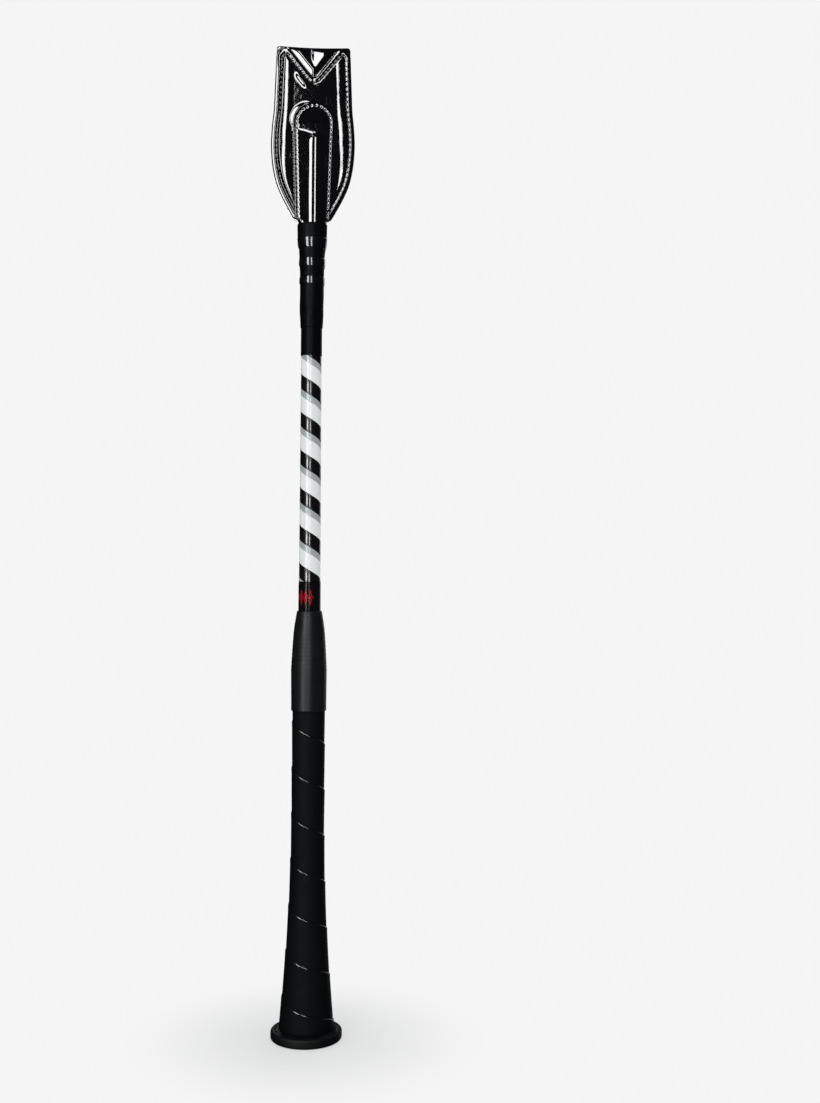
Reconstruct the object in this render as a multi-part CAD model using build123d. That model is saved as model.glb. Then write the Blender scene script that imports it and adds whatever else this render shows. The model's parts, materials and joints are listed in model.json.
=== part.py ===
from build123d import *
import math
import os

# Riding crop: a tapered rod dressed with spiral tape, with a wrapped grip on a mushroom butt at
# the bottom and a stitched leather flap at the top. Millimetres, +Z from the butt to the flap.
# The origin is the middle of the butt's flat base. The flap's faces look along -Y and +Y.

# Overall
overall_length = 650.0
gap = 0.02                      # between layers that lie on each other
over = 1.0                      # how far a cutting shape runs past what it cuts
roomy = 120.0                   # wider than the whole crop

# Butt cap, with a collar that reaches up inside the grip and holds the rod
cap_radius = 23.4
cap_thickness = 6.5
cap_edge_round = 1.8
cap_floor = 4.0                 # rubber under the rod's end
collar_top = 28.5
collar_radius = 9.4

# Rod
rod_radius_bottom = 5.0         # straight inside the collar, then tapered
rod_radius_top = 3.0
rod_top = 592.0
rod_tip_round = 1.2

# Cover that pads the rod to full thickness
cover_radius_bottom = 7.40
cover_radius_shoulder = 6.30
cover_shoulder = 470.0
cover_top = 497.0
cover_radius_tip = 4.6

# Spiral tapes, left-hand
tape_thickness = 0.30
tape_pitch = 24.7
black_width = 9.6
silver_width = 4.4
white_width = tape_pitch - black_width - silver_width
black_edge_front = 431.0        # height of one black turn's upper edge, on the front
tape_joint = 0.04               # between neighbouring tapes
tape_bottom = 276.0

# Accent band over the tapes' lower ends, and the thin sleeve over their upper ends
band_bottom = 279.5
band_top = 299.3
band_thickness = 0.20
low_sleeve_bottom = 447.0
low_sleeve_top = 469.5
low_sleeve_thickness = 0.25

# Neck sleeve: height, half width and half depth of its outside
neck_bottom = 465.0
neck_top = 533.5
neck_sections = [
    (neck_bottom, 7.25, 7.25),
    (475.0, 7.80, 7.80),
    (500.0, 7.85, 7.85),
    (512.0, 8.30, 8.05),
    (517.0, 8.70, 8.10),
    (524.5, 9.60, 8.10),
    (neck_top, 9.80, 7.90),
]
neck_wall = 0.90
neck_rings = {
    "neck_ring_lower": (493.0, 498.6),
    "neck_ring_middle": (504.5, 510.7),
    "neck_ring_upper": (516.6, 524.1),
}
ring_thickness = 0.30

# Grip, straight above the waist and flared below it
grip_top = 236.0
grip_waist = 150.0
grip_radius_top = 10.75
grip_radius_waist = 10.95
grip_radius_foot = 18.5
wrap_thickness = 1.50
wrap_pitch = 30.0
wrap_seam_front = 199.7         # height of the top seam, on the front
seam_width = 1.2
seam_strip_thickness = 1.0
adhesive_thickness = 0.15
underlay_top = 262.0

# Boot over the grip's top end
boot_bottom = 214.8
boot_top = 280.2
boot_crown = 242.0              # height of its widest place
boot_radius_top = 8.1
boot_radius_shoulder = 10.35
boot_shoulder = 264.5
boot_radius_crown = 11.65
boot_radius_bottom = 11.45
boot_skin = 0.06                # clearance over what it covers
finishing_bottom = 238.0
finishing_top = 256.0
finishing_thickness = 0.35
underlay_tip_wall = 0.15        # rubber left at the underlay's feathered top
boot_room_top = 264.0           # inside the boot, above the underlay
boot_room_bottom = 236.5        # inside the boot, above the wrap

# Flap
leather = 1.4
flap_root = 503.0
flap_root_half_width = 5.6
flap_side = [                   # half width and height, up one side
    (8.7, 532.5),
    (12.2, 536.5),
    (16.3, 543.5),
    (20.5, 551.4),
    (24.0, 560.0),
    (26.4, 571.0),
    (27.4, 584.0),
    (26.9, 596.0),
    (25.7, 608.0),
    (25.1, 622.0),
    (24.4, 640.0),
]
flap_half_top = 24.2
flap_corner = 2.2
flap_reach = 12.0               # further than the panels stand from the middle plane
pocket_half_gap = 3.4           # the panels stand this far off the middle plane at the rod
edge_half_gap = 0.05            # and this far at the flap's widest place
tip_insert_thickness = 1.2
lobe_top = 647.8                # top of the panels' rounded lobes
lobe_outer_round = 6.0
lobe_inner_round = 4.0
notch_half_width = 15.5
notch_bottom = 629.0
padding_inset = 4.6             # the pads stop short of the edge seam
padding_bottom = 543.5
padding_inner = 4.0             # from the flap's middle

# Flexing line, just above the rod pocket
hinge_height = 615.0
below_hinge = 1.8
above_hinge = 1.0

# Tongue over the rod pocket
tongue_half_width = 13.2
tongue_half_root = 11.2
tongue_top = 612.0
tongue_root = 512.0
tongue_thickness = 1.1

# Stitching
edge_seam_inset = 3.7
edge_stitch_pitch = 3.35
tongue_seam_inset = 1.9
tongue_stitch_pitch = 3.1
stitch_length = 2.2
stitch_width = 0.7
stitch_thickness = 0.35
stitch_start = 538.0            # lowest stitch of the edge seam and of the tongue's

# Worked out
below_top = hinge_height - below_hinge
above_bottom = hinge_height + above_hinge
half_widest = max(half_width for half_width, height in flap_side)
bow_rise = pocket_half_gap - edge_half_gap
bow_radius = (half_widest**2 + bow_rise**2) / (2 * bow_rise)
flare_drop = grip_waist - cap_thickness
flare_out = grip_radius_foot - grip_radius_waist
flare_radius = (flare_drop**2 + flare_out**2) / (2 * flare_out)


standing = (Align.CENTER, Align.CENTER, Align.MIN)  # base in the plane z = 0


def save(shape, name):
    export_step(shape, f"parts/{name}.step")


def turned(points):
    """A solid turned about Z from its half outline, each point a radius and a height."""
    with BuildPart() as part:
        with BuildSketch(Plane.XZ):
            with BuildLine():
                Polyline(*points, close=True)
            make_face()
        revolve(axis=Axis.Z)
    return part.part


def slab(bottom, top):
    return Pos(0, 0, bottom) * Box(roomy, roomy, top - bottom, align=standing)


def spiral(front_height, width, pitch, inner, outer, bottom, top):
    """A left-hand spiral bar. Its lower edge crosses the front at front_height and at every
    pitch above and below, and it runs past both bottom and top."""
    turns_down = math.ceil((front_height - bottom) / pitch) + 1
    start = front_height - turns_down * pitch
    middle = (inner + outer) / 2
    path = Helix(pitch, top + pitch - start, middle, lefthand=True)
    section = Plane.XZ * Pos(middle, width / 2) * Rectangle(outer - inner, width)
    bar = sweep(section, path=path, is_frenet=True)
    return Pos(0, 0, start) * Rot(0, 0, -90) * bar


# ---- the shaft's layers

def cover_radius(height):
    share = (height - collar_top) / (cover_shoulder - collar_top)
    return cover_radius_bottom + share * (cover_radius_shoulder - cover_radius_bottom)


def tape_radius(height):
    return cover_radius(height) + gap + tape_thickness


def layer(bottom, top, inset, thickness):
    """A thin shell round the shaft, inset above the tapes' outside."""
    low = tape_radius(bottom) + inset
    high = tape_radius(top) + inset
    return turned([(low, bottom), (low + thickness, bottom), (high + thickness, top), (high, top)])


def rod_outline(clearance):
    return [
        (0, cap_floor),
        (rod_radius_bottom + clearance, cap_floor),
        (rod_radius_bottom + clearance, collar_top),
        (rod_radius_top + clearance, rod_top),
        (0, rod_top),
    ]


def make_rod():
    rod = turned(rod_outline(0))
    return fillet(rod.edges().sort_by(Axis.Z)[-1], rod_tip_round)


def make_cover():
    cover = turned([
        (0, collar_top + gap),
        (cover_radius(collar_top), collar_top + gap),
        (cover_radius_shoulder, cover_shoulder),
        (cover_radius_tip, cover_top),
        (0, cover_top),
    ])
    return cover - turned(rod_outline(gap))


def make_tape(front_height, width):
    shell = layer(tape_bottom, cover_shoulder, -tape_thickness, tape_thickness)
    inner = cover_radius_shoulder - over
    outer = cover_radius_bottom + over
    bar = spiral(front_height, width - tape_joint, tape_pitch, inner, outer, tape_bottom, cover_shoulder)
    return shell & bar


def neck_body(change):
    """The neck's outline, grown by change all round."""
    sections = [
        Pos(0, 0, height) * Ellipse(half_width + change, half_depth + change)
        for height, half_width, half_depth in neck_sections
    ]
    return loft(sections, ruled=True)


def neck_room(shrink):
    """The room inside the neck sleeve, made smaller by shrink all round."""
    least = tape_radius(low_sleeve_top) + low_sleeve_thickness + 4 * gap
    sections = []
    for height, half_width, half_depth in neck_sections:
        half_width = max(half_width - neck_wall, least) - shrink
        half_depth = max(half_depth - neck_wall, least) - shrink
        sections.append(Pos(0, 0, height) * Ellipse(half_width, half_depth))
    return loft(sections, ruled=True)


def make_neck_ring(bottom, top):
    return (neck_body(gap + ring_thickness) - neck_body(gap)) & slab(bottom, top)


# ---- the grip's layers

def flare_at(height, inset):
    """Radius of the grip's outside, less inset, at a height below its waist."""
    reach = flare_radius + inset
    return grip_radius_waist + flare_radius - math.sqrt(reach**2 - (grip_waist - height)**2)


def grip_body(inset, bottom, top):
    """The grip's outline less inset all round, between two heights."""
    waist = (grip_radius_waist - inset, grip_waist)
    foot = (flare_at(bottom, inset), bottom)
    middle = (grip_waist + bottom) / 2
    half_way = (flare_at(middle, inset), middle)
    with BuildPart() as part:
        with BuildSketch(Plane.XZ):
            with BuildLine():
                Polyline((0, bottom), foot)
                ThreePointArc(foot, half_way, waist)
                Polyline(waist, (grip_radius_top - inset, top), (0, top), (0, bottom))
            make_face()
        revolve(axis=Axis.Z)
    return part.part


def seam_bar(width):
    """A deep spiral bar along the wrap's seam."""
    inner = cover_radius_shoulder
    outer = grip_radius_foot + 2 * over
    return spiral(wrap_seam_front, width, wrap_pitch, inner, outer, cap_thickness, grip_top)


def make_seam_strip():
    skin = grip_body(wrap_thickness - seam_strip_thickness, cap_thickness + gap, grip_top)
    return seam_bar(seam_width) & (skin - grip_body(wrap_thickness, cap_thickness - over, grip_top + over))


def make_grip_wrap():
    shell = grip_body(0, cap_thickness + gap, grip_top)
    shell = shell - grip_body(wrap_thickness, cap_thickness - over, grip_top + over)
    return shell - Pos(0, 0, -gap) * seam_bar(seam_width + 2 * gap)


def make_adhesive():
    inset = wrap_thickness + gap
    outside = grip_body(inset, cap_thickness + gap, grip_top)
    return outside - grip_body(inset + adhesive_thickness, cap_thickness - over, grip_top + over)


def underlay_inset():
    return wrap_thickness + adhesive_thickness + 2 * gap


def underlay_radius(height):
    """Outside radius of the underlay's tapered top end."""
    foot = grip_radius_top - underlay_inset()
    tip = cover_radius(underlay_top) + 4 * gap + underlay_tip_wall
    share = (height - grip_top) / (underlay_top - grip_top)
    return foot + share * (tip - foot)


def make_underlay():
    body = grip_body(underlay_inset(), cap_thickness + gap, grip_top)
    body = body + turned([
        (0, grip_top),
        (underlay_radius(grip_top), grip_top),
        (underlay_radius(underlay_top), underlay_top),
        (0, underlay_top),
    ])
    bore = turned([
        (0, 0),
        (collar_radius + gap, 0),
        (collar_radius + gap, collar_top + gap),
        (cover_radius(collar_top) + gap, collar_top + gap),
        (cover_radius(underlay_top) + gap, underlay_top + over),
        (0, underlay_top + over),
    ])
    return body - bore


def make_finishing_tape():
    low = underlay_radius(finishing_bottom) + gap
    high = underlay_radius(finishing_top) + gap
    return turned([
        (low, finishing_bottom),
        (low + finishing_thickness, finishing_bottom),
        (high + finishing_thickness, finishing_top),
        (high, finishing_top),
    ])


def make_boot():
    over_band = tape_radius(band_bottom) + band_thickness + boot_skin
    over_wrap = grip_radius_waist + boot_skin
    over_finish_low = underlay_radius(finishing_bottom) + finishing_thickness + 2 * boot_skin
    over_finish_high = underlay_radius(finishing_top) + finishing_thickness + 2 * boot_skin
    lip = (boot_radius_top, boot_top)
    crown = (boot_radius_crown, boot_crown)
    with BuildPart() as part:
        with BuildSketch(Plane.XZ):
            with BuildLine():
                Polyline((over_wrap, boot_bottom), (boot_radius_bottom, boot_bottom), crown)
                ThreePointArc(crown, (boot_radius_shoulder, boot_shoulder), lip)
                Polyline(
                    lip,
                    (over_band, boot_top),
                    (over_band, boot_room_top),
                    (over_finish_high, finishing_top),
                    (over_finish_low, finishing_bottom),
                    (over_wrap, boot_room_bottom),
                    (over_wrap, boot_bottom),
                )
            make_face()
        revolve(axis=Axis.Z)
    return part.part


def make_butt_cap():
    with BuildPart() as part:
        Cylinder(cap_radius, cap_thickness, align=standing)
        fillet(part.edges(), cap_edge_round)
        with Locations((0, 0, cap_thickness)):
            Cylinder(collar_radius, collar_top - cap_thickness, align=standing)
    return part.part - turned(rod_outline(gap))


# ---- the flap

def mirrored_face(points, spline_end, corners):
    """A face symmetric about Z from one side's points. The first spline_end of them after the
    root are joined by a smooth curve. Corners lists (x, z, radius) of the ones to round."""
    root = points[0]
    curve = points[1:spline_end + 1]
    rest = points[spline_end:]
    with BuildSketch(Plane.XZ) as sketch:
        with BuildLine():
            Line((0, root[1]), root)
            Line(root, curve[0])
            Spline(*curve)
            Polyline(*rest)
            mirror(about=Plane.YZ)
        make_face()
        for x, z, radius in corners:
            near = [v for v in sketch.vertices() if abs(abs(v.X) - x) < 0.01 and abs(v.Z - z) < 0.01]
            fillet(near, radius)
    return sketch.sketch


def panel_face():
    """Outline of the front and back panels, with two lobes and a notch at the top."""
    side = [(flap_root_half_width, flap_root)] + flap_side
    top = [(flap_half_top, lobe_top), (notch_half_width, lobe_top), (0, notch_bottom)]
    corners = [
        (flap_half_top, lobe_top, lobe_outer_round),
        (notch_half_width, lobe_top, lobe_inner_round),
    ]
    return mirrored_face(side + top, len(flap_side), corners)


def insert_face():
    """Outline of the piece between the panels, which closes the notch."""
    side = [(flap_root_half_width, flap_root)] + flap_side
    top = [(flap_half_top, overall_length), (0, overall_length)]
    corners = [(flap_half_top, overall_length, flap_corner)]
    return mirrored_face(side + top, len(flap_side), corners)


def tongue_half(height):
    """Half width of the tongue below its domed top."""
    spring_line = tongue_top - tongue_half_width
    share = (height - neck_top) / (spring_line - neck_top)
    return tongue_half_root + share * (tongue_half_width - tongue_half_root)


def tongue_face():
    spring_line = tongue_top - tongue_half_width
    root_half = tongue_half(tongue_root)
    with BuildSketch(Plane.XZ) as sketch:
        with BuildLine():
            Line((-root_half, tongue_root), (root_half, tongue_root))
            Line((root_half, tongue_root), (tongue_half_width, spring_line))
            ThreePointArc(
                (tongue_half_width, spring_line), (0, tongue_top), (-tongue_half_width, spring_line)
            )
            Line((-tongue_half_width, spring_line), (-root_half, tongue_root))
        make_face()
    return sketch.sketch


def bow(radius, bottom, top):
    """A long round bar whose front matches the bowed panels."""
    centre = bow_radius - pocket_half_gap
    bar = Cylinder(radius, top - bottom, align=standing)
    return Pos(0, centre, bottom) * bar


def bowed_sheet(face, inset, thickness, bottom, top):
    """A sheet cut to face and bowed, inset outside the panels' inner faces, on the front. What
    is below the neck's top is trimmed to the room inside the neck sleeve."""
    inside = bow_radius + inset
    shell = bow(inside + thickness, bottom, top) - bow(inside, bottom - over, top + over)
    sheet = shell & extrude(face, flap_reach)
    return sheet & (neck_room(gap) + slab(neck_top, top))


def behind(front):
    return Rot(0, 0, 180) * front


def flat_sheet(face, near, far, bottom):
    """A flat sheet cut to face between two distances in front of the middle plane."""
    return (Pos(0, -near, 0) * extrude(face, far - near)) & slab(bottom, overall_length + over)


def make_right_padding():
    """The pad in the flap's right side, between the panels and beside the rod."""
    edge = [
        (half_width - padding_inset, height)
        for half_width, height in flap_side
        if padding_bottom <= height < below_top
    ]
    with BuildSketch(Plane.XZ) as sketch:
        with BuildLine():
            Line((padding_inner, padding_bottom), edge[0])
            Spline(*edge)
            Line(edge[-1], (edge[-1][0], below_top))
            Line((edge[-1][0], below_top), (padding_inner, below_top))
            Line((padding_inner, below_top), (padding_inner, padding_bottom))
        make_face()
    block = extrude(sketch.sketch, flap_reach, both=True)
    front = bow(bow_radius - gap, padding_bottom - over, below_top + over)
    return block & front & behind(front)


def place_stitch(point, along, out):
    """One stitch lying on a face, at a point, with its length along a direction."""
    place = Plane(origin=point, x_dir=along, z_dir=out)
    lift = stitch_thickness / 2 + 2 * gap
    return place * Pos(0, 0, lift) * Box(stitch_length, stitch_width, stitch_thickness)


def stitches(face, inset, pitch, face_radius, highest, under_tongue=0):
    """A row of stitches inset from the edge of a bowed face, up to a height. It starts at the
    neck, and leaves out what would lie under the tongue widened by under_tongue."""
    line = offset(face, -inset).face().outer_wire()
    count = round(line.length / pitch)
    bars = []
    for index in range(count):
        point = line.position_at(index / count)
        along = line.tangent_at(index / count)
        if not stitch_start < point.Z < highest:
            continue
        if under_tongue and abs(point.X) < tongue_half(point.Z) + under_tongue:
            continue
        slope = point.X / face_radius
        depth = bow_radius - pocket_half_gap - math.sqrt(face_radius**2 - point.X**2)
        out = Vector(slope, -math.sqrt(1 - slope**2), 0)
        lean = along.X * slope / math.sqrt(1 - slope**2)
        bars.append(place_stitch(Vector(point.X, depth, point.Z), Vector(along.X, lean, along.Z), out))
    return bars


def flat_stitches(face, inset, pitch, depth, lowest):
    """A row of stitches inset from the edge of a flat face, above a height."""
    line = offset(face, -inset).face().outer_wire()
    count = round(line.length / pitch)
    bars = []
    for index in range(count):
        point = line.position_at(index / count)
        along = line.tangent_at(index / count)
        if point.Z < lowest:
            continue
        bars.append(place_stitch(Vector(point.X, -depth, point.Z), along, Vector(0, -1, 0)))
    return bars


def make_shaft():
    save(make_rod(), "core_rod")
    save(make_cover(), "shaft_cover")
    silver_front = black_edge_front - black_width - silver_width
    save(make_tape(black_edge_front - black_width, black_width), "black_tape")
    save(make_tape(silver_front, silver_width), "silver_tape")
    save(make_tape(silver_front - white_width, white_width), "white_tape")
    save(layer(band_bottom, band_top, gap, band_thickness), "accent_band")
    save(layer(low_sleeve_bottom, low_sleeve_top, gap, low_sleeve_thickness), "tape_end_sleeve")
    save(neck_body(0) - neck_room(0), "neck_sleeve")
    for name, (bottom, top) in neck_rings.items():
        save(make_neck_ring(bottom, top), name)


def make_grip():
    save(make_butt_cap(), "butt_cap")
    save(make_underlay(), "grip_underlay")
    save(make_adhesive(), "grip_adhesive_tape")
    save(make_grip_wrap(), "grip_wrap")
    save(make_seam_strip(), "grip_seam_strip")
    save(make_finishing_tape(), "finishing_tape")
    save(make_boot(), "rubber_boot")


def make_flap():
    panel = panel_face()
    tongue = tongue_face()
    front_panel = bowed_sheet(panel, 0, leather, flap_root, below_top)
    front_tongue = bowed_sheet(tongue, leather + gap, tongue_thickness, tongue_root, below_top)
    save(front_panel, "flap_front_panel")
    save(behind(front_panel), "flap_back_panel")
    save(front_tongue, "front_tongue")
    save(behind(front_tongue), "back_tongue")
    right_padding = make_right_padding()
    save(right_padding, "flap_padding_right")
    save(behind(right_padding), "flap_padding_left")

    panel_outside = bow_radius + leather
    seam_end = below_top - stitch_length
    edge = stitches(panel, edge_seam_inset, edge_stitch_pitch, panel_outside, seam_end, stitch_width)
    save(Compound(edge + [behind(bar) for bar in edge]), "edge_stitching")
    tongue_outside = panel_outside + gap + tongue_thickness
    arch = stitches(tongue, tongue_seam_inset, tongue_stitch_pitch, tongue_outside, tongue_top)
    save(Compound(arch), "front_tongue_stitching")
    save(Compound([behind(bar) for bar in arch]), "back_tongue_stitching")


def make_flap_end():
    panel = panel_face()
    inner = tip_insert_thickness / 2 + gap
    outer = inner + leather
    front_end = flat_sheet(panel, inner, outer, above_bottom)
    insert = flat_sheet(insert_face(), -tip_insert_thickness / 2, tip_insert_thickness / 2, above_bottom)
    edge = flat_stitches(panel, edge_seam_inset, edge_stitch_pitch, outer, above_bottom + stitch_length)
    save(front_end, "flap_front_end")
    save(behind(front_end), "flap_back_end")
    save(insert, "flap_tip_insert")
    save(Compound(edge + [behind(bar) for bar in edge]), "end_stitching")


os.makedirs("parts", exist_ok=True)
make_shaft()
make_grip()
make_flap()
make_flap_end()
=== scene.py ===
import json
import math

import bmesh
import bpy
import numpy as np
from bpy.props import FloatProperty, FloatVectorProperty, IntProperty, PointerProperty
from mathutils import Matrix, Vector, noise


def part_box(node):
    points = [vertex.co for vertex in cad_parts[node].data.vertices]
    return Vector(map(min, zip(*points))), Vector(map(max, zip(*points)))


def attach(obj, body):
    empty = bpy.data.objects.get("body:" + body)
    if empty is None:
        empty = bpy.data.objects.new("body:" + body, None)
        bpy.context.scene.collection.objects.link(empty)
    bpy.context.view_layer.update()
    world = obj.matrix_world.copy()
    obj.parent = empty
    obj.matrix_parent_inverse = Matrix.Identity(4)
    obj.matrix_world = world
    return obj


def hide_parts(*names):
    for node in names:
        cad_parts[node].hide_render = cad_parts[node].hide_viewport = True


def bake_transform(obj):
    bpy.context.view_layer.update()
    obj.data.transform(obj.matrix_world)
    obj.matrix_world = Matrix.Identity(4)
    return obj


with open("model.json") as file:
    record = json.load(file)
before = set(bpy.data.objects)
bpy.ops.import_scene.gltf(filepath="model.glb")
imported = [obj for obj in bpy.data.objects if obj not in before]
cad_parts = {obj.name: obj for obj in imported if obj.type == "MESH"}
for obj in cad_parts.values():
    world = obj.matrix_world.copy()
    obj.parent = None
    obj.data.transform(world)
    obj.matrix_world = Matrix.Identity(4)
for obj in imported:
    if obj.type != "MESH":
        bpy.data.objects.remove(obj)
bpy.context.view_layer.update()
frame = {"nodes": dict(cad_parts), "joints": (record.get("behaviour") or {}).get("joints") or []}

bl_info = {
    "name": "Riding crop",
    "version": (1, 0, 0),
    "blender": (4, 5, 0),
    "location": "3D View > Sidebar > Crop",
    "description": "Dresses a riding crop: spiral tapes, wrapped grip and a stitched patent leather flap",
    "category": "Object",
}

# Shapes are worked out in millimetres, with +Z from the butt to the flap and the flap's front
# towards -Y. A piece's mesh is turned into metres when it is made.
MM = 0.001


# ---- measures taken from the frame

def low(node):
    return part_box(node)[0] / MM


def high(node):
    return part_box(node)[1] / MM


GAP = 0.02                                    # between layers that lie on each other
COVER_FOOT = (low("shaft_cover").z, high("shaft_cover").x)
TAPE_THICKNESS = 0.30
BAND_BOTTOM, BAND_TOP = low("accent_band").z, high("accent_band").z
CAP_RADIUS = high("butt_cap").x
CAP_TOP = low("grip_wrap").z
NECK_TOP = high("neck_sleeve").z
TIP_TOP = high("flap_tip_insert").z
HINGE = frame["joints"][0]["pos_m"][2] / MM


# ---- what a user would change

class CROP_PG_shaft(bpy.types.PropertyGroup):
    tape_pitch: FloatProperty(
        name="Tape pitch", description="Height of one full turn of the three tapes",
        default=24.7 * MM, unit="LENGTH")
    black_width: FloatProperty(
        name="Black width", description="Height of the black stripe", default=9.6 * MM, unit="LENGTH")
    silver_width: FloatProperty(
        name="Silver width", description="Height of the silver stripe", default=4.4 * MM, unit="LENGTH")
    black_edge: FloatProperty(
        name="Black edge", description="Height of one black stripe's upper edge on the front",
        default=430.2 * MM, unit="LENGTH")
    black: FloatVectorProperty(
        name="Black", description="Colour of the black tape", subtype="COLOR",
        default=(0.0045, 0.0045, 0.0055))
    silver: FloatVectorProperty(
        name="Silver", description="Colour of the silver tape", subtype="COLOR",
        default=(0.44, 0.475, 0.485))
    white: FloatVectorProperty(
        name="White", description="Colour of the white tape", subtype="COLOR",
        default=(0.90, 0.92, 0.91))
    mark: FloatVectorProperty(
        name="Mark", description="Colour of the marks on the accent band", subtype="COLOR",
        default=(0.62, 0.015, 0.02))


class CROP_PG_grip(bpy.types.PropertyGroup):
    wrap_pitch: FloatProperty(
        name="Wrap pitch", description="Height of one full turn of the wrap",
        default=30.0 * MM, unit="LENGTH")
    wrap_seam: FloatProperty(
        name="Wrap seam", description="Height of the top seam on the front",
        default=199.7 * MM, unit="LENGTH")
    wrap: FloatVectorProperty(
        name="Wrap", description="Colour of the grip wrap", subtype="COLOR",
        default=(0.0020, 0.0029, 0.0040))
    boot: FloatVectorProperty(
        name="Boot", description="Colour of the rubber boot", subtype="COLOR",
        default=(0.0050, 0.0062, 0.0070))
    butt: FloatVectorProperty(
        name="Butt", description="Colour of the butt's rubber", subtype="COLOR",
        default=(0.0022, 0.0030, 0.0038))


class CROP_PG_flap(bpy.types.PropertyGroup):
    leather: FloatProperty(
        name="Leather", description="Thickness of a leather panel", default=1.4 * MM, unit="LENGTH")
    puff: FloatProperty(
        name="Puff", description="How far the padded part stands above the flange",
        default=1.6 * MM, unit="LENGTH")
    seam_inset: FloatProperty(
        name="Seam inset", description="From the flap's edge to its seam", default=3.7 * MM,
        unit="LENGTH")
    stitch_pitch: FloatProperty(
        name="Stitch pitch", description="From one stitch to the next", default=3.3 * MM,
        unit="LENGTH")
    columns: IntProperty(
        name="Columns", description="Mesh columns across a leather panel", default=100, min=20)
    patent: FloatVectorProperty(
        name="Patent", description="Colour of the patent leather", subtype="COLOR",
        default=(0.0030, 0.0030, 0.0040))
    thread: FloatVectorProperty(
        name="Thread", description="Colour of the thread", subtype="COLOR",
        default=(0.012, 0.012, 0.013))


class CROP_PG_stage(bpy.types.PropertyGroup):
    backdrop: FloatVectorProperty(
        name="Backdrop", description="Colour behind the crop", subtype="COLOR",
        default=(0.915, 0.915, 0.915))
    lens: FloatProperty(
        name="Lens", description="Focal length", default=44.84 * MM, unit="CAMERA")
    distance: FloatProperty(
        name="Distance", description="From the camera to the shaft's axis", default=0.9035,
        unit="LENGTH")


# ---- shader nodes

class Wire:
    """One output of a material's nodes, with arithmetic for the numbers that it carries."""

    def __init__(self, finish, socket):
        self.finish = finish
        self.socket = socket

    def __add__(self, other):
        return self.finish.math("ADD", self, other)

    def __radd__(self, other):
        return self.finish.math("ADD", other, self)

    def __sub__(self, other):
        return self.finish.math("SUBTRACT", self, other)

    def __rsub__(self, other):
        return self.finish.math("SUBTRACT", other, self)

    def __mul__(self, other):
        return self.finish.math("MULTIPLY", self, other)

    def __rmul__(self, other):
        return self.finish.math("MULTIPLY", other, self)

    def __truediv__(self, other):
        return self.finish.math("DIVIDE", self, other)

    def __rtruediv__(self, other):
        return self.finish.math("DIVIDE", other, self)

    def __lt__(self, other):
        return self.finish.math("LESS_THAN", self, other)

    def __gt__(self, other):
        return self.finish.math("GREATER_THAN", self, other)

    def __abs__(self):
        return self.finish.math("ABSOLUTE", self)


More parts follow.
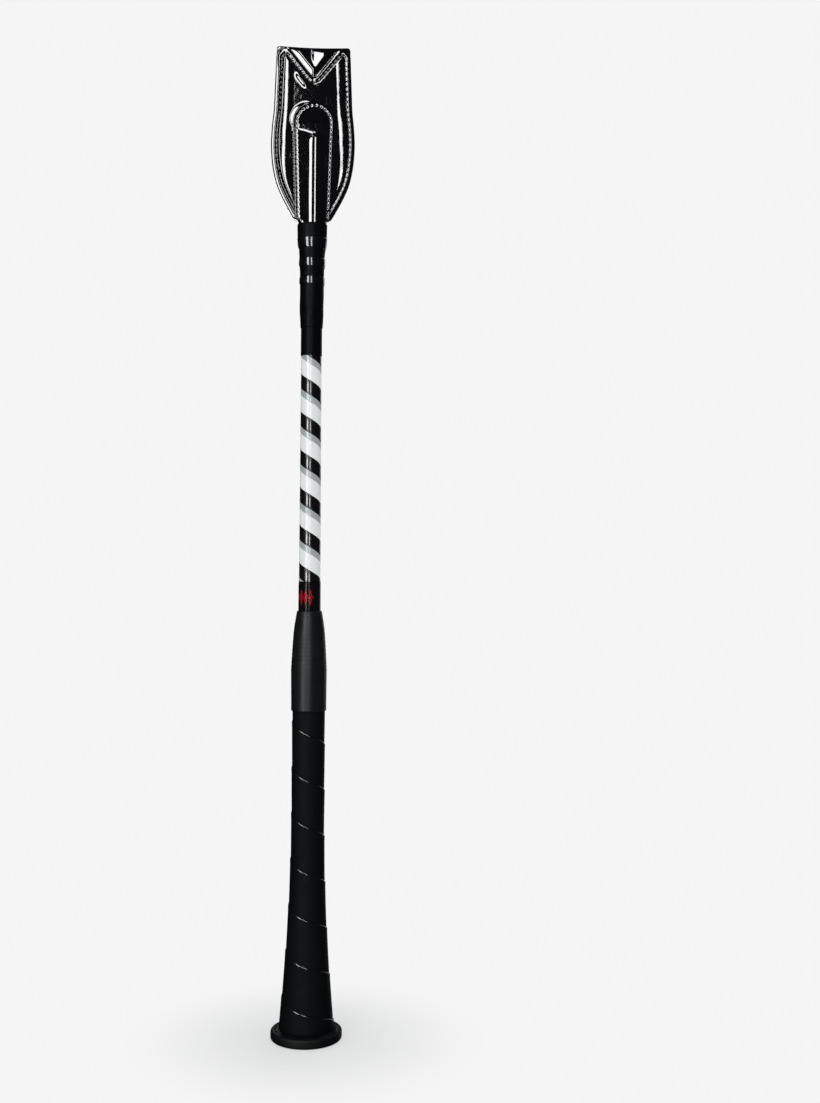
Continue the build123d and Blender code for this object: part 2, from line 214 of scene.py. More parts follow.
class Finish:
    """A material while it is being built."""

    def __init__(self, name, constants):
        self.material = bpy.data.materials.new(name)
        self.material.use_nodes = True
        self.tree = self.material.node_tree
        self.shader = next(n for n in self.tree.nodes if n.type == "BSDF_PRINCIPLED")
        for socket, value in constants.items():
            self.feed(self.shader.inputs[socket], value)

    def feed(self, socket, value):
        if isinstance(value, Wire):
            self.tree.links.new(value.socket, socket)
        elif hasattr(value, "__len__") and socket.type == "RGBA" and len(value) == 3:
            socket.default_value = (*value, 1.0)
        else:
            socket.default_value = value

    def node(self, kind, settings, values, output=0):
        """A node of any kind. Its settings come first, then what its sockets hold."""
        made = self.tree.nodes.new(kind)
        for name, value in settings.items():
            if name == "stops":
                self.set_stops(made.color_ramp, value)
            else:
                setattr(made, name, value)
        for name, value in values.items():
            self.feed(made.inputs[name], value)
        return Wire(self, made.outputs[output])

    def set_stops(self, ramp, stops):
        """Gives a ramp its stops, each a place and a shade of grey."""
        while len(ramp.elements) > len(stops):
            ramp.elements.remove(ramp.elements[-1])
        while len(ramp.elements) < len(stops):
            ramp.elements.new(1.0)
        for element, (place, shade) in zip(ramp.elements, stops):
            element.position = place
            element.color = (shade, shade, shade, 1.0)

    def math(self, operation, *values):
        return self.node("ShaderNodeMath", {"operation": operation}, dict(enumerate(values)))

    def place(self):
        return self.node("ShaderNodeTexCoord", {}, {}, "Object")

    def stretched(self, x, y, z):
        """Places in the object, stretched by three factors."""
        settings = {"operation": "MULTIPLY"}
        return self.node("ShaderNodeVectorMath", settings, {0: self.place(), 1: (x, y, z)})

    def part(self, axis):
        return self.node("ShaderNodeSeparateXYZ", {}, {0: self.place()}, axis)

    def turn(self):
        """Angle round the shaft in radians, from 0 at the front."""
        return self.math("ARCTAN2", self.part("X"), 0.0 - self.part("Y"))

    def noise(self, scale, detail=3.0, roughness=0.55, where=None):
        where = where or self.place()
        values = {"Vector": where, "Scale": scale, "Detail": detail, "Roughness": roughness}
        return self.node("ShaderNodeTexNoise", {}, values)

    def streaks(self, stretch, detail, roughness):
        """Noise drawn out along the axis that is stretched least."""
        return self.noise(1.0, detail, roughness, self.stretched(*stretch))

    def cells(self, scale, feature="F1", where=None):
        values = {"Vector": where or self.place(), "Scale": scale}
        return self.node("ShaderNodeTexVoronoi", {"feature": feature}, values, "Distance")

    def ramp(self, value, *stops):
        return self.node("ShaderNodeValToRGB", {"stops": stops}, {0: value})

    def patches(self, value, start, end):
        """1 where a value is above end, 0 where it is below start, and a soft edge between."""
        return self.ramp(value, (start, 0.0), (end, 1.0))

    def blend(self, share, first, second):
        return self.node("ShaderNodeMix", {"data_type": "RGBA"}, {0: share, 6: first, 7: second}, 2)

    def bump(self, height, distance, strength=1.0, under=None):
        values = {"Height": height, "Distance": distance, "Strength": strength}
        if under is not None:
            values["Normal"] = under
        return self.node("ShaderNodeBump", {}, values)

    def wear(self, **sockets):
        """Feeds the shader what changes over the surface, and returns the material."""
        for name, value in sockets.items():
            self.feed(self.shader.inputs[name.replace("_", " ").title()], value)
        return self.material


def paler(colour, factor):
    """A colour with every part times a factor, which may also darken it."""
    return tuple(min(1.0, part * factor) for part in colour)


def patent_finish(name, colour):
    """Patent leather: a thick clear lacquer over black, faintly wavy, with fine dust and scuffs."""
    f = Finish(name, {"IOR": 1.5, "Coat Weight": 1.0, "Coat Roughness": 0.015, "Coat IOR": 1.52})
    waves = f.noise(110.0, 2.0)
    ripple = f.noise(620.0, 3.0)
    pores = f.cells(1900.0)
    dust = f.patches(f.noise(2600.0, 2.0), 0.66, 0.74)
    scuffs = f.patches(f.streaks((260.0, 260.0, 60.0), 5.0, 0.7), 0.56, 0.72)
    skin = f.bump(waves + ripple * 0.04, 0.0003, 0.4)
    skin = f.bump(pores, 0.00002, 0.25, skin)
    tone = f.blend(dust * 0.10 + scuffs * 0.05, colour, paler(colour, 22.0))
    return f.wear(base_color=tone, roughness=0.05 + scuffs * 0.10 + dust * 0.06, normal=skin)


def tape_finish(name, colour, coat, roughness=0.22, stripe=None):
    """Glossy tape with ripples, rub marks and dirt. A stripe is (lower edge, height, height of a
    full turn), and its lacquer is duller near its edges."""
    f = Finish(name, {"IOR": 1.45, "Coat Roughness": 0.03})
    if stripe:
        bottom, width, pitch = stripe
        across = f.turn()
        turns = (f.part("Z") - bottom) / pitch + across / (2 * math.pi)
        share = f.math("FRACT", turns) * (pitch / width)
        gloss = f.ramp(abs(share - 0.46), (0.20, coat), (0.38, 0.04))
    else:
        gloss = coat
    rubs = f.patches(f.streaks((420.0, 420.0, 90.0), 4.0, 0.6), 0.52, 0.75)
    grime = f.patches(f.noise(900.0, 4.0, 0.65), 0.58, 0.78)
    ripple = f.streaks((90.0, 90.0, 240.0), 2.0, 0.5)
    dirty = tuple(part * 0.72 + 0.004 for part in colour)
    tone = f.blend(grime * 0.22 + rubs * 0.08, colour, dirty)
    skin = f.bump(ripple, 0.0002, 0.35)
    return f.wear(base_color=tone, roughness=roughness + rubs * 0.12 + grime * 0.08, coat_weight=gloss,
                  normal=skin)


def silver_finish(colour):
    """Silver tape: a metal film with hair-fine brushing across the strip."""
    f = Finish("silver_tape", {"IOR": 1.4, "Specular IOR Level": 0.3})
    lines = f.streaks((500.0, 500.0, 9000.0), 3.0, 0.6)
    rubs = f.patches(f.noise(500.0, 4.0), 0.50, 0.75)
    tone = f.blend(rubs * 0.30 + lines * 0.15, colour, paler(colour, 0.72))
    skin = f.bump(lines, 0.00002, 0.4)
    return f.wear(base_color=tone, metallic=0.12 - rubs * 0.06, roughness=0.30 + rubs * 0.14,
                  normal=skin)


def marked_finish(colour, mark):
    """The accent band: black gloss with a group of small red lozenges in front and behind."""
    f = Finish("accent_band", {"IOR": 1.42, "Specular IOR Level": 0.12})
    columns, first, middle = 14, 0.32, 0.38     # lozenges in a full turn, and where they stand
    level, half = BAND_BOTTOM + 9.6, 5.4        # height of their middles, and of half of one
    across = f.turn()
    column = f.math("FRACT", across / (2 * math.pi / columns) + first)
    marked = f.math("COSINE", (across + middle) * 2.0) > 0.05
    height = (f.part("Z") - level * MM) / (half * MM)
    inner = abs(column - 0.5) * 2.3 + abs(height)
    lozenge = (inner < 1.0) * (inner > 0.62) + (inner < 0.34)
    worn = f.ramp(f.noise(1800.0, 4.0, 0.7), (0.40, 1.0), (0.66, 0.2))
    grime = f.patches(f.noise(700.0, 4.0), 0.55, 0.80)
    tone = f.blend(lozenge * marked * worn, colour, mark)
    tone = f.blend(grime * 0.10, tone, (0.05, 0.05, 0.05))
    skin = f.bump(lozenge + grime * 0.3, 0.00003, 0.5)
    return f.wear(base_color=tone, roughness=0.10 + grime * 0.14, normal=skin)


def rubber_finish(name, colour, roughness, grain=2400.0, depth=0.00004, shine=0.15):
    """Moulded or stretched rubber: fine grain, paler bloom in places and rubbed spots."""
    f = Finish(name, {"IOR": 1.5, "Specular IOR Level": shine})
    speckle = f.noise(grain, 3.0, 0.6)
    bloom = f.patches(f.noise(170.0, 5.0, 0.62), 0.38, 0.72)
    rubbed = f.patches(f.streaks((300.0, 300.0, 70.0), 4.0, 0.6), 0.50, 0.74)
    tone = f.blend(bloom * 0.5 + speckle * 0.2, colour, paler(colour, 1.75))
    skin = f.bump(speckle + bloom * 0.4, depth, 0.7)
    return f.wear(base_color=tone, roughness=roughness - rubbed * 0.12 + bloom * 0.05, normal=skin)


def wrap_finish(colour):
    """The grip wrap: a dry, tacky skin with fine pebble grain and tiny pinholes, which are painted darker
    inside as shade.
    """
    f = Finish("grip_wrap", {"IOR": 1.45, "Specular IOR Level": 0.07})
    pebble = f.cells(2300.0, "SMOOTH_F1")
    folds = f.streaks((120.0, 120.0, 320.0), 3.0, 0.6)
    shaded_holes = f.ramp(f.cells(420.0), (0.05, 1.0), (0.09, 0.0))
    handled = f.patches(f.noise(60.0, 4.0, 0.6), 0.42, 0.70)
    tone = f.blend(pebble * 0.30 + handled * 0.30, colour, paler(colour, 1.9))
    # painted shade: the colour is darkened inside the pinholes, where they dip in
    tone = f.blend(shaded_holes * 0.7, tone, (0.002, 0.002, 0.002))
    skin = f.bump(pebble + folds * 0.8, 0.00006, 0.55)
    skin = f.bump(1.0 - shaded_holes, 0.00015, 0.6, skin)
    return f.wear(base_color=tone, roughness=0.64 - handled * 0.12 + pebble * 0.06, normal=skin)


def thread_finish(colour):
    """Waxed thread: twisted strands with a soft shine."""
    f = Finish("thread", {"IOR": 1.5, "Specular IOR Level": 0.9})
    twist = f.math("SINE", (f.part("X") + f.part("Z")) * 16000.0)
    fuzz = f.noise(5200.0, 3.0, 0.7)
    tone = f.blend(fuzz * 0.5, colour, paler(colour, 2.6))
    skin = f.bump(twist + fuzz, 0.00006, 0.7)
    return f.wear(base_color=tone, roughness=0.24 + fuzz * 0.2, normal=skin)


def cloth_finish(name, colour, threads, roughness=0.85):
    """A woven or braided layer."""
    f = Finish(name, {"Specular IOR Level": 0.25})
    weave = f.math("SINE", f.part("X") * threads) * f.math("SINE", f.part("Z") * threads)
    stain = f.noise(240.0, 4.0, 0.6)
    tone = f.blend(stain * 0.6 + weave * 0.15, colour, paler(colour, 0.6))
    skin = f.bump(weave + stain, 0.0001, 0.6)
    return f.wear(base_color=tone, roughness=roughness - stain * 0.1, normal=skin)


def rod_finish():
    """Cast resin and glass fibre, with fibres along the rod."""
    f = Finish("rod_fibreglass", {"IOR": 1.52, "Coat Weight": 0.4, "Coat Roughness": 0.1})
    fibres = f.streaks((2200.0, 2200.0, 60.0), 5.0, 0.7)
    tone = f.blend(fibres, (0.75, 0.72, 0.60), (0.58, 0.54, 0.42))
    return f.wear(base_color=tone, roughness=0.3 + fibres * 0.2, normal=f.bump(fibres, 0.00004, 0.5))


# ---- meshes

WELD = 0.0005                     # points nearer to each other than this are one point


def piece(name, points, faces, material, replaces=(), body="shaft", bends=False, sharp=50.0):
    """A finished piece, which rides on a body, or which crosses the flexing line and is left in world
    space without a body.
    """
    mesh = bpy.data.meshes.new(name)
    mesh.from_pydata((np.asarray(points, float) * MM).tolist(), [], faces)
    work = bmesh.new()
    work.from_mesh(mesh)
    bmesh.ops.remove_doubles(work, verts=work.verts, dist=WELD * MM)
    bmesh.ops.dissolve_degenerate(work, edges=work.edges, dist=WELD * MM)
    bmesh.ops.recalc_face_normals(work, faces=work.faces)
    work.to_mesh(mesh)
    work.free()
    mesh.shade_smooth()
    mesh.set_sharp_from_angle(angle=math.radians(sharp))
    mesh.materials.append(material)
    made = bpy.data.objects.new(name, mesh)
    bpy.context.scene.collection.objects.link(made)
    if bends:
        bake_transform(made)
    else:
        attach(made, body)
    if replaces:
        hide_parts(*replaces)
    return made


def dress(node, material):
    """Gives a node of the frame its material."""
    target = frame["nodes"][node]
    target.data.materials.clear()
    target.data.materials.append(material)


def lofted(rings, joined=False):
    """A closed skin through rings of points. joined closes the last ring onto the first one."""
    rings = np.asarray(rings, float)
    count, around = rings.shape[:2]
    faces = []
    for i in range(count if joined else count - 1):
        here, there = i * around, (i + 1) % count * around
        for j in range(around):
            k = (j + 1) % around
            faces.append((here + j, here + k, there + k, there + j))
    if not joined:
        faces.append(tuple(range(around))[::-1])
        faces.append(tuple(range((count - 1) * around, count * around)))
    return rings.reshape(-1, 3), faces


def turned(outline, around=96, joined=True, uneven=None):
    """Turns an outline of (radius, height) or (half width, half depth, height) about Z."""
    angle = np.linspace(0, 2 * math.pi, around, endpoint=False)
    rings = []
    for point in outline:
        wide, deep, height = point if len(point) == 3 else (point[0], point[0], point[1])
        grow = uneven(angle, height) if uneven else 0.0
        rings.append(np.stack(
            [(wide + grow) * np.cos(angle), (deep + grow) * np.sin(angle), np.full(around, height)], 1))
    return lofted(rings, joined)


def spiral(front_height, width, pitch, section, radius, bottom, top, around=96):
    """A left-hand strip whose lower edge crosses the front at front_height and at every pitch
    above and below. Its section is a loop of (share of the width, height above radius)."""
    first = math.floor((bottom - width - front_height) / pitch * around)
    last = math.ceil((top - front_height) / pitch * around)
    share, lift = np.array(section, float).T
    thinnest = 0.004                  # a narrower sliver at either end is left out
    rings = []
    for step in range(first, last + 1):
        turn = step / around
        start = front_height + turn * pitch
        lower, upper = max(start, bottom), min(start + width, top)
        if upper - lower < thinnest:
            continue
        height = lower + share * (upper - lower)
        out = radius(height) + lift
        angle = -math.pi / 2 - 2 * math.pi * turn
        rings.append(np.stack([out * math.cos(angle), out * math.sin(angle), height], 1))
    return lofted(rings)


def shell(outer, inner):
    """A closed skin between two grids of points with the same rows and columns."""
    rows, columns = outer.shape[:2]
    count = rows * columns
    index = np.arange(count).reshape(rows, columns)
    a, b = index[:-1, :-1].ravel(), index[:-1, 1:].ravel()
    c, d = index[1:, 1:].ravel(), index[1:, :-1].ravel()
    faces = np.stack([a, b, c, d], 1).tolist()
    faces += (np.stack([d, c, b, a], 1) + count).tolist()
    rim = np.concatenate([index[0], index[1:, -1], index[-1, -2::-1], index[-2:0:-1, 0]])
    for here, there in zip(rim, np.roll(rim, -1)):
        faces.append((int(there), int(here), int(here) + count, int(there) + count))
    return np.concatenate([outer.reshape(-1, 3), inner.reshape(-1, 3)]), faces


def step_up(start, end, value):
    """0 below start, 1 above end, and a smooth rise between."""
    share = np.clip((value - start) / (end - start), 0, 1)
    return share * share * (3 - 2 * share)


def cloudy(x, z, size_x, size_z, seed):
    """Smooth uneven heights between about -1 and 1."""
    to_full = 1.6                     # the noise itself stays within about 0.6
    flat = [noise.noise(Vector((a / size_x, b / size_z, seed))) for a, b in zip(x.ravel(), z.ravel())]
    return np.array(flat).reshape(x.shape) * to_full


def smooth_line(points, steps=24):
    """Points along a smooth curve through the given ones."""
    p = np.array([points[0], *points, points[-1]], float)
    made = []
    for i in range(1, len(p) - 2):
        for t in np.linspace(0, 1, steps, endpoint=False):
            rise = p[i + 1] - p[i - 1]
            bend = 2 * p[i - 1] - 5 * p[i] + 4 * p[i + 1] - p[i + 2]
            turn = 3 * p[i] - p[i - 1] - 3 * p[i + 1] + p[i + 2]
            made.append(p[i] + 0.5 * (rise * t + bend * t * t + turn * t ** 3))
    made.append(p[-2])
    return np.array(made)


def spaced(line, pitch):
    """Points at about an equal pitch along a line, with the directions there."""
    steps = np.linalg.norm(np.diff(line, axis=0), axis=1)
    length = np.concatenate([[0], np.cumsum(steps)])
    count = round(length[-1] / pitch)
    at = np.linspace(0, length[-1], count + 1)
    reach = 0.2                       # each way along the line, to find its direction
    ahead = np.minimum(at + reach, length[-1])
    behind = np.maximum(at - reach, 0)

    def where(s):
        return np.stack([np.interp(s, length, line[:, 0]), np.interp(s, length, line[:, 1])], 1)

    along = where(ahead) - where(behind)
    return where(at), along / np.linalg.norm(along, axis=1)[:, None]


# ---- the shaft's and the grip's outlines

COVER_SHOULDER = (470.0, 6.30)    # height and radius, as in the grip's three points below


def cover_radius(height):
    """Outside of the padded rod, under the tapes."""
    share = (height - COVER_FOOT[0]) / (COVER_SHOULDER[0] - COVER_FOOT[0])
    return COVER_FOOT[1] + share * (COVER_SHOULDER[1] - COVER_FOOT[1])


def tape_radius(height):
    """Outside of the tapes."""
    return cover_radius(height) + GAP + TAPE_THICKNESS


GRIP_TOP = (236.0, 10.75)
GRIP_WAIST = (150.0, 10.95)
GRIP_FOOT = (6.5, 18.5)


def grip_radius(height):
    """Outside of the wrap: straight above the waist, and a tangent arc below it."""
    drop, out = GRIP_WAIST[0] - GRIP_FOOT[0], GRIP_FOOT[1] - GRIP_WAIST[1]
    flare = (drop ** 2 + out ** 2) / (2 * out)
    height = np.asarray(height, float)
    below = np.maximum(GRIP_WAIST[0] - height, 0)
    above = np.maximum(height - GRIP_WAIST[0], 0)
    taper = (GRIP_TOP[1] - GRIP_WAIST[1]) / (GRIP_TOP[0] - GRIP_WAIST[0])
    return GRIP_WAIST[1] + flare - np.sqrt(flare ** 2 - below ** 2) + taper * above


NECK = [                          # height, half width and half depth of the sleeve's outside
    (465.0, 7.25, 7.25), (475.0, 7.80, 7.80), (500.0, 7.85, 7.85), (512.0, 8.30, 8.05),
    (517.0, 8.70, 8.10), (524.5, 9.60, 8.10), (NECK_TOP, 9.80, 7.90),
]


NECK_WALL = 0.9


def neck_size(height):
    """Half width and half depth of the neck sleeve's outside."""
    heights, wide, deep = zip(*NECK)
    return np.interp(height, heights, wide), np.interp(height, heights, deep)


# ---- the flap's outlines and heights

FLAP_SIDE = smooth_line([
    (5.6, 503.0), (8.7, 532.5), (12.2, 536.5), (16.3, 543.5), (20.5, 551.4), (24.0, 560.0),
    (26.4, 571.0), (27.4, 584.0), (26.9, 596.0), (25.7, 608.0), (25.1, 622.0), (24.4, 640.0),
    (24.2, 650.0)])
LOBE_TOP, LOBE_OUTER, LOBE_INNER = 647.8, 6.0, 4.0
NOTCH_BOTTOM, NOTCH_HALF, NOTCH_ROUND = 629.0, 15.5, 0.8
FLAP_TOP_HALF = 24.25
LEATHER_START = 516.0             # inside the neck sleeve
LINE_STEP = 0.12                  # between points of an outline
TONGUE_HALF, TONGUE_ROOT_HALF, TONGUE_TOP = 13.2, 11.2, 612.0
TONGUE_THICKNESS = 1.1
TONGUE_SEAM = 1.9
TONGUE_PITCH = 3.1
TONGUE_LEVEL = 2.95               # outside of the panel under the tongue's flat sides
SEAM_START = 537.5
SEAM_CREASE, TONGUE_CREASE = (0.32, 0.70), (0.14, 0.6)        # depth and half width under the seams
PANEL_RIM, TONGUE_RIM = 0.62, 0.5                             # radius of the leather's cut edges
# Each of these gives heights on the flap, and the value at each of them.
CREST_LEFT = [545, 560, 585, 640], [4.9, 5.8, 7.9, 6.6]       # how far in from the edge it is highest
CREST_RIGHT = [545, 560, 585, 640], [4.9, 6.2, 8.7, 9.1]
PUFF_SHARE = [520, 545, 560, 632, 648], [0.6, 0.9, 1.0, 0.9, 0.7]
FLANGE_RISE = [630, 644], [0.85, 0.34]                        # from the flange's rim to the seam
SIDES = (("front", 1, 3.1), ("back", -1, 17.4))               # name, facing, seed of the creases
SPRING = TONGUE_TOP - TONGUE_HALF
ROD_TOP = high("core_rod").z


def flap_half(height):
    """Half width of the flap."""
    return np.interp(height, FLAP_SIDE[:, 1], FLAP_SIDE[:, 0])


def panel_top(x):
    """Height of a panel's top edge: a rounded lobe each side of a notch."""
    x = np.abs(x)
    slope = (LOBE_TOP - NOTCH_BOTTOM) / NOTCH_HALF
    lean = math.atan(slope)
    tangent = LOBE_INNER * math.tan(lean / 2)
    arc_start = NOTCH_HALF - tangent * math.cos(lean)
    arc_centre = NOTCH_HALF + tangent
    outer_centre = FLAP_TOP_HALF - LOBE_OUTER
    line = NOTCH_BOTTOM + np.hypot(slope * x, NOTCH_ROUND)
    inner = LOBE_TOP - LOBE_INNER + np.sqrt(np.maximum(LOBE_INNER ** 2 - (x - arc_centre) ** 2, 0))
    outer = LOBE_TOP - LOBE_OUTER + np.sqrt(np.maximum(LOBE_OUTER ** 2 - (x - outer_centre) ** 2, 0))
    top = np.where(x < arc_start, line, np.where(x < arc_centre, inner, LOBE_TOP))
    return np.where(x > outer_centre, outer, top)


def panel_outline():
    """One side of a panel, from the root up to the notch's bottom."""
    heights = np.arange(LEATHER_START, LOBE_TOP - LOBE_OUTER, LINE_STEP)
    side = np.stack([flap_half(heights), heights], 1)
    turn = np.linspace(0, math.pi / 2, 70)
    centre = FLAP_TOP_HALF - LOBE_OUTER
    corner_x = centre + LOBE_OUTER * np.cos(turn)
    corner_z = LOBE_TOP - LOBE_OUTER + LOBE_OUTER * np.sin(turn)
    across = np.append(np.arange(centre, 0, -0.1), 0)
    top = np.stack([across, panel_top(across)], 1)
    return np.concatenate([side, np.stack([corner_x, corner_z], 1), top])


def tongue_half(height):
    """Half width of the tongue, which stays inside the panel's edge near the neck."""
    share = (height - NECK_TOP) / (SPRING - NECK_TOP)
    straight = TONGUE_ROOT_HALF + share * (TONGUE_HALF - TONGUE_ROOT_HALF)
    dome = np.sqrt(np.maximum(TONGUE_HALF ** 2 - np.maximum(height - SPRING, 0) ** 2, 0))
    return np.minimum(np.where(height > SPRING, dome, straight), flap_half(height) - 0.4)


def tongue_outline():
    """One side of a tongue, from the root up to the dome's top."""
    heights = np.arange(LEATHER_START, SPRING, LINE_STEP)
    side = np.stack([tongue_half(heights), heights], 1)
    turn = np.linspace(0, math.pi / 2, 160)
    dome = np.stack([TONGUE_HALF * np.cos(turn), SPRING + TONGUE_HALF * np.sin(turn)], 1)
    return np.concatenate([side, dome])


PANEL_LINE = panel_outline()
TONGUE_LINE = tongue_outline()


def distance_to(line, x, z):
    """Least distance from each point to a line that is mirrored about x = 0."""
    points = np.stack([np.abs(x).ravel(), z.ravel()], 1)
    found = np.empty(len(points))
    count = 2000                      # points in one go, which keeps the tables small
    for start in range(0, len(points), count):
        part = points[start:start + count, None]
        apart = (part[..., 0] - line[None, :, 0]) ** 2 + (part[..., 1] - line[None, :, 1]) ** 2
        found[start:start + count] = np.sqrt(apart.min(1))
    return found.reshape(x.shape)


def seam_line(line, inset, start):
    """A seam inset from an outline, from start up one side, over the top and down the other."""
    along = np.gradient(line, axis=0)
    along /= np.linalg.norm(along, axis=1)[:, None]
    inner = line + inset * np.stack([-along[:, 1], along[:, 0]], 1)
    slack = 0.04                      # of the distance, because the outline is a row of points
    clear = distance_to(line, inner[:, 0], inner[:, 1]) > inset - slack
    kept = inner[clear & (inner[:, 1] > start) & (inner[:, 0] > -0.01)]
    return np.concatenate([kept, kept[::-1] * (-1, 1)])


def neck_limit(x, z):
    """The leather's greatest height where the neck sleeve presses it together."""
    wide, deep = neck_size(NECK_TOP)
    least, slope = 0.02, 1.3          # least room at the sides, and how steeply it opens above
    room = (deep - NECK_WALL - 0.05) * np.sqrt(np.maximum(1 - (x / (wide - NECK_WALL)) ** 2, least))
    return room + slope * np.maximum(z - NECK_TOP - 0.5, 0)


def soft_least(a, b, blend=0.25):
    """The lower of two heights, with the corner between them rounded over blend."""
    return -blend * np.logaddexp(-a / blend, -b / blend)


def soft_most(a, b, blend=0.30):
    """The higher of two heights, rounded in the same way."""
    return blend * np.logaddexp(a / blend, b / blend)


def rounded_rim(edge, radius):
    """How far a rounded rim lies below its face, by the distance from the edge."""
    return radius * (1 - np.sqrt(1 - (1 - np.clip(edge, 0, radius) / radius) ** 2))


def crease(apart, depth, half_width):
    """Depth of a crease, by the distance from its line."""
    return depth * np.exp(-(apart / half_width) ** 2)


class Leather:
    """Heights of the flap's leather above its middle plane, for one face."""

    def __init__(self, settings, seed):
        self.thickness = settings.leather / MM
        self.puff = settings.puff / MM
        self.inset = settings.seam_inset / MM
        self.seed = seed
        self.edge_stitches, self.edge_along = spaced(
            seam_line(PANEL_LINE, self.inset, SEAM_START), settings.stitch_pitch / MM)
        self.tongue_stitches, self.tongue_along = spaced(
            seam_line(TONGUE_LINE, TONGUE_SEAM, SEAM_START), TONGUE_PITCH)

    def flange(self, z):
        """Outside of the flange, which the tip's own leather parts above the flexing line."""
        gap, parting = 0.10, 0.55
        return self.thickness + gap + parting * step_up(HINGE - 12, HINGE + 6, z)

    def body(self, x, z):
        """The panel's outside without its seams and rim, and the distance from its edge."""
        edge = distance_to(PANEL_LINE, x, z)
        in_tongue = (np.abs(x) < tongue_half(z)) & (z < TONGUE_TOP)
        from_tongue = np.where(in_tongue, 0, distance_to(TONGUE_LINE, x, z))
        from_seam = np.maximum(edge - self.inset - 0.3, 0)
        full = self.flange(z) + self.puff * np.interp(z, *PUFF_SHARE)
        middle = full + 0.111 - 0.01 * x

        # the sides, which swell from the seam up to a rounded crown
        share = np.minimum(edge / self.inset, 1)
        swell = self.flange(z) + np.interp(z, *FLANGE_RISE) * (1 - (1 - share) ** 2) + 0.90 * from_seam
        height = soft_least(swell, np.maximum(full + self.crown(x, z), middle), 0.14)

        # the left side, pressed down beside the tongue's straight part
        dome = step_up(586, 603, z)
        beside = self.under_tongue(x) + 0.50 * from_tongue + 2.5 * step_up(591, 600, z)
        lifted = height + np.where(in_tongue, 1.4 * (1 - dome), 0)
        height = np.where(x < 0, soft_least(lifted, beside, 0.04), height)

        # the bulge round the tongue's dome, the loose folds and the rod's ridge
        tilt = dome * np.interp(x, [-13, 10], [1.0, 0.0])
        height = np.maximum(height, middle + tilt - 0.38 * from_tongue - 2 * (1 - dome))
        height += self.pucker(x, z)
        height += 0.04 * cloudy(x, z, 15.0, 26.0, self.seed) * step_up(0.0, 3.0, from_seam)
        height = soft_most(height, self.ridge(x, z), 0.05)
        return soft_least(height, neck_limit(x, z) - TONGUE_THICKNESS), edge

    def crown(self, x, z):
        """How the padded sides round off, measured from the line where each is highest."""
        left = x + flap_half(z) - np.interp(z, *CREST_LEFT)
        right = x - flap_half(z) + np.interp(z, *CREST_RIGHT)
        lean = 0.044                  # of both sides, towards the right
        return np.where(x < 0, 0.45 + lean * left - 0.018 * left ** 2,
                        lean * right - 0.012 * np.maximum(right, 0) ** 2)

    def under_tongue(self, x):
        """The panel under the tongue's left side, which climbs towards the rod."""
        return TONGUE_LEVEL - 0.20 + 0.10 * (x + TONGUE_HALF)

    def pucker(self, x, z):
        """A short diagonal fold between the notch and the tongue."""
        from_x, from_z = x + 7.2, z - 626.5
        turn_x, turn_z = 0.63, 0.78
        along = from_x * turn_x - from_z * turn_z
        across = from_x * turn_z + from_z * turn_x
        depth, half_length, half_width = 0.68, 4.8, 1.3
        return depth * np.exp(-(along / half_length) ** 4 - (across / half_width) ** 2)

    def ridge(self, x, z):
        """Leather drawn over the rod, a little off the middle."""
        shift, round_, side = 2.0, 10.5, 5.6      # off the middle, radius, half width of the round part
        across = np.abs(x - shift)
        drop = round_ * (1 - np.sqrt(1 - (np.minimum(across, side) / round_) ** 2))
        drop += 0.62 * np.maximum(across - side, 0)
        over_rod = TONGUE_LEVEL + 1.8
        return over_rod - 3.0 * step_up(ROD_TOP - 5, ROD_TOP + 6, z) - drop

    def dimples(self, x, z, stitches, depth, radius):
        """How far the stitches pull the leather down."""
        low_by = np.zeros_like(x)
        for sx, sz in stitches:
            near = ((x - sx) ** 2 + (z - sz) ** 2) / radius ** 2
            low_by += depth * np.exp(-near)
        return low_by

    def panel(self, x, z):
        """Outside and inside of the panel."""
        body, edge = self.body(x, z)
        outside = body - crease(edge - self.inset, *SEAM_CREASE)
        outside -= self.dimples(x, z, self.edge_stitches, 0.40, 1.05)
        return outside - rounded_rim(edge, PANEL_RIM), body - self.thickness

    def tongue(self, x, z):
        """Outside and inside of the tongue."""
        body, _ = self.body(x, z)
        edge = distance_to(TONGUE_LINE, x, z)
        outside = body + TONGUE_THICKNESS - crease(edge - TONGUE_SEAM, *TONGUE_CREASE)
        outside -= self.dimples(x, z, self.tongue_stitches, 0.34, 0.9)
        return outside - rounded_rim(edge, TONGUE_RIM), body + GAP


def edge_steps(count, fine, span):
    """Shares from -1 to 1, finer at both ends. fine lists distances from an end, over span."""
    near = np.array(fine) / span
    middle = np.linspace(-1 + near[-1], 1 - near[-1], count)
    return np.concatenate([-1 + near[:-1], middle, 1 - near[:-1][::-1]])


RIM_STEPS = [0.0, 0.07, 0.18, 0.33, 0.5, 0.7, 1.0]            # distances of mesh rows from a rim
ROW_STEP = 0.62


def rising_steps(count, reach, span):
    """Shares from 0 to 1, even up to reach and then finer. span is the length that they share."""
    return np.concatenate([np.linspace(0, reach, count), 1 - np.array(RIM_STEPS[::-1][1:]) / span])


def panel_grid(columns):
    """Places of a panel's mesh points: straight rows up to the flexing line, then curved ones."""
    across = edge_steps(columns, RIM_STEPS, 27.4)
    lower = np.arange(LEATHER_START, HINGE + 3, ROW_STEP)
    split = lower[-1]
    upper = rising_steps(52, 0.955, 26.0)[1:]
    top = panel_top(across * FLAP_TOP_HALF)
    z = np.concatenate([
        np.repeat(lower[:, None], len(across), 1),
        split + upper[:, None] * (top - split)[None, :]])
    return across[None, :] * flap_half(z), z


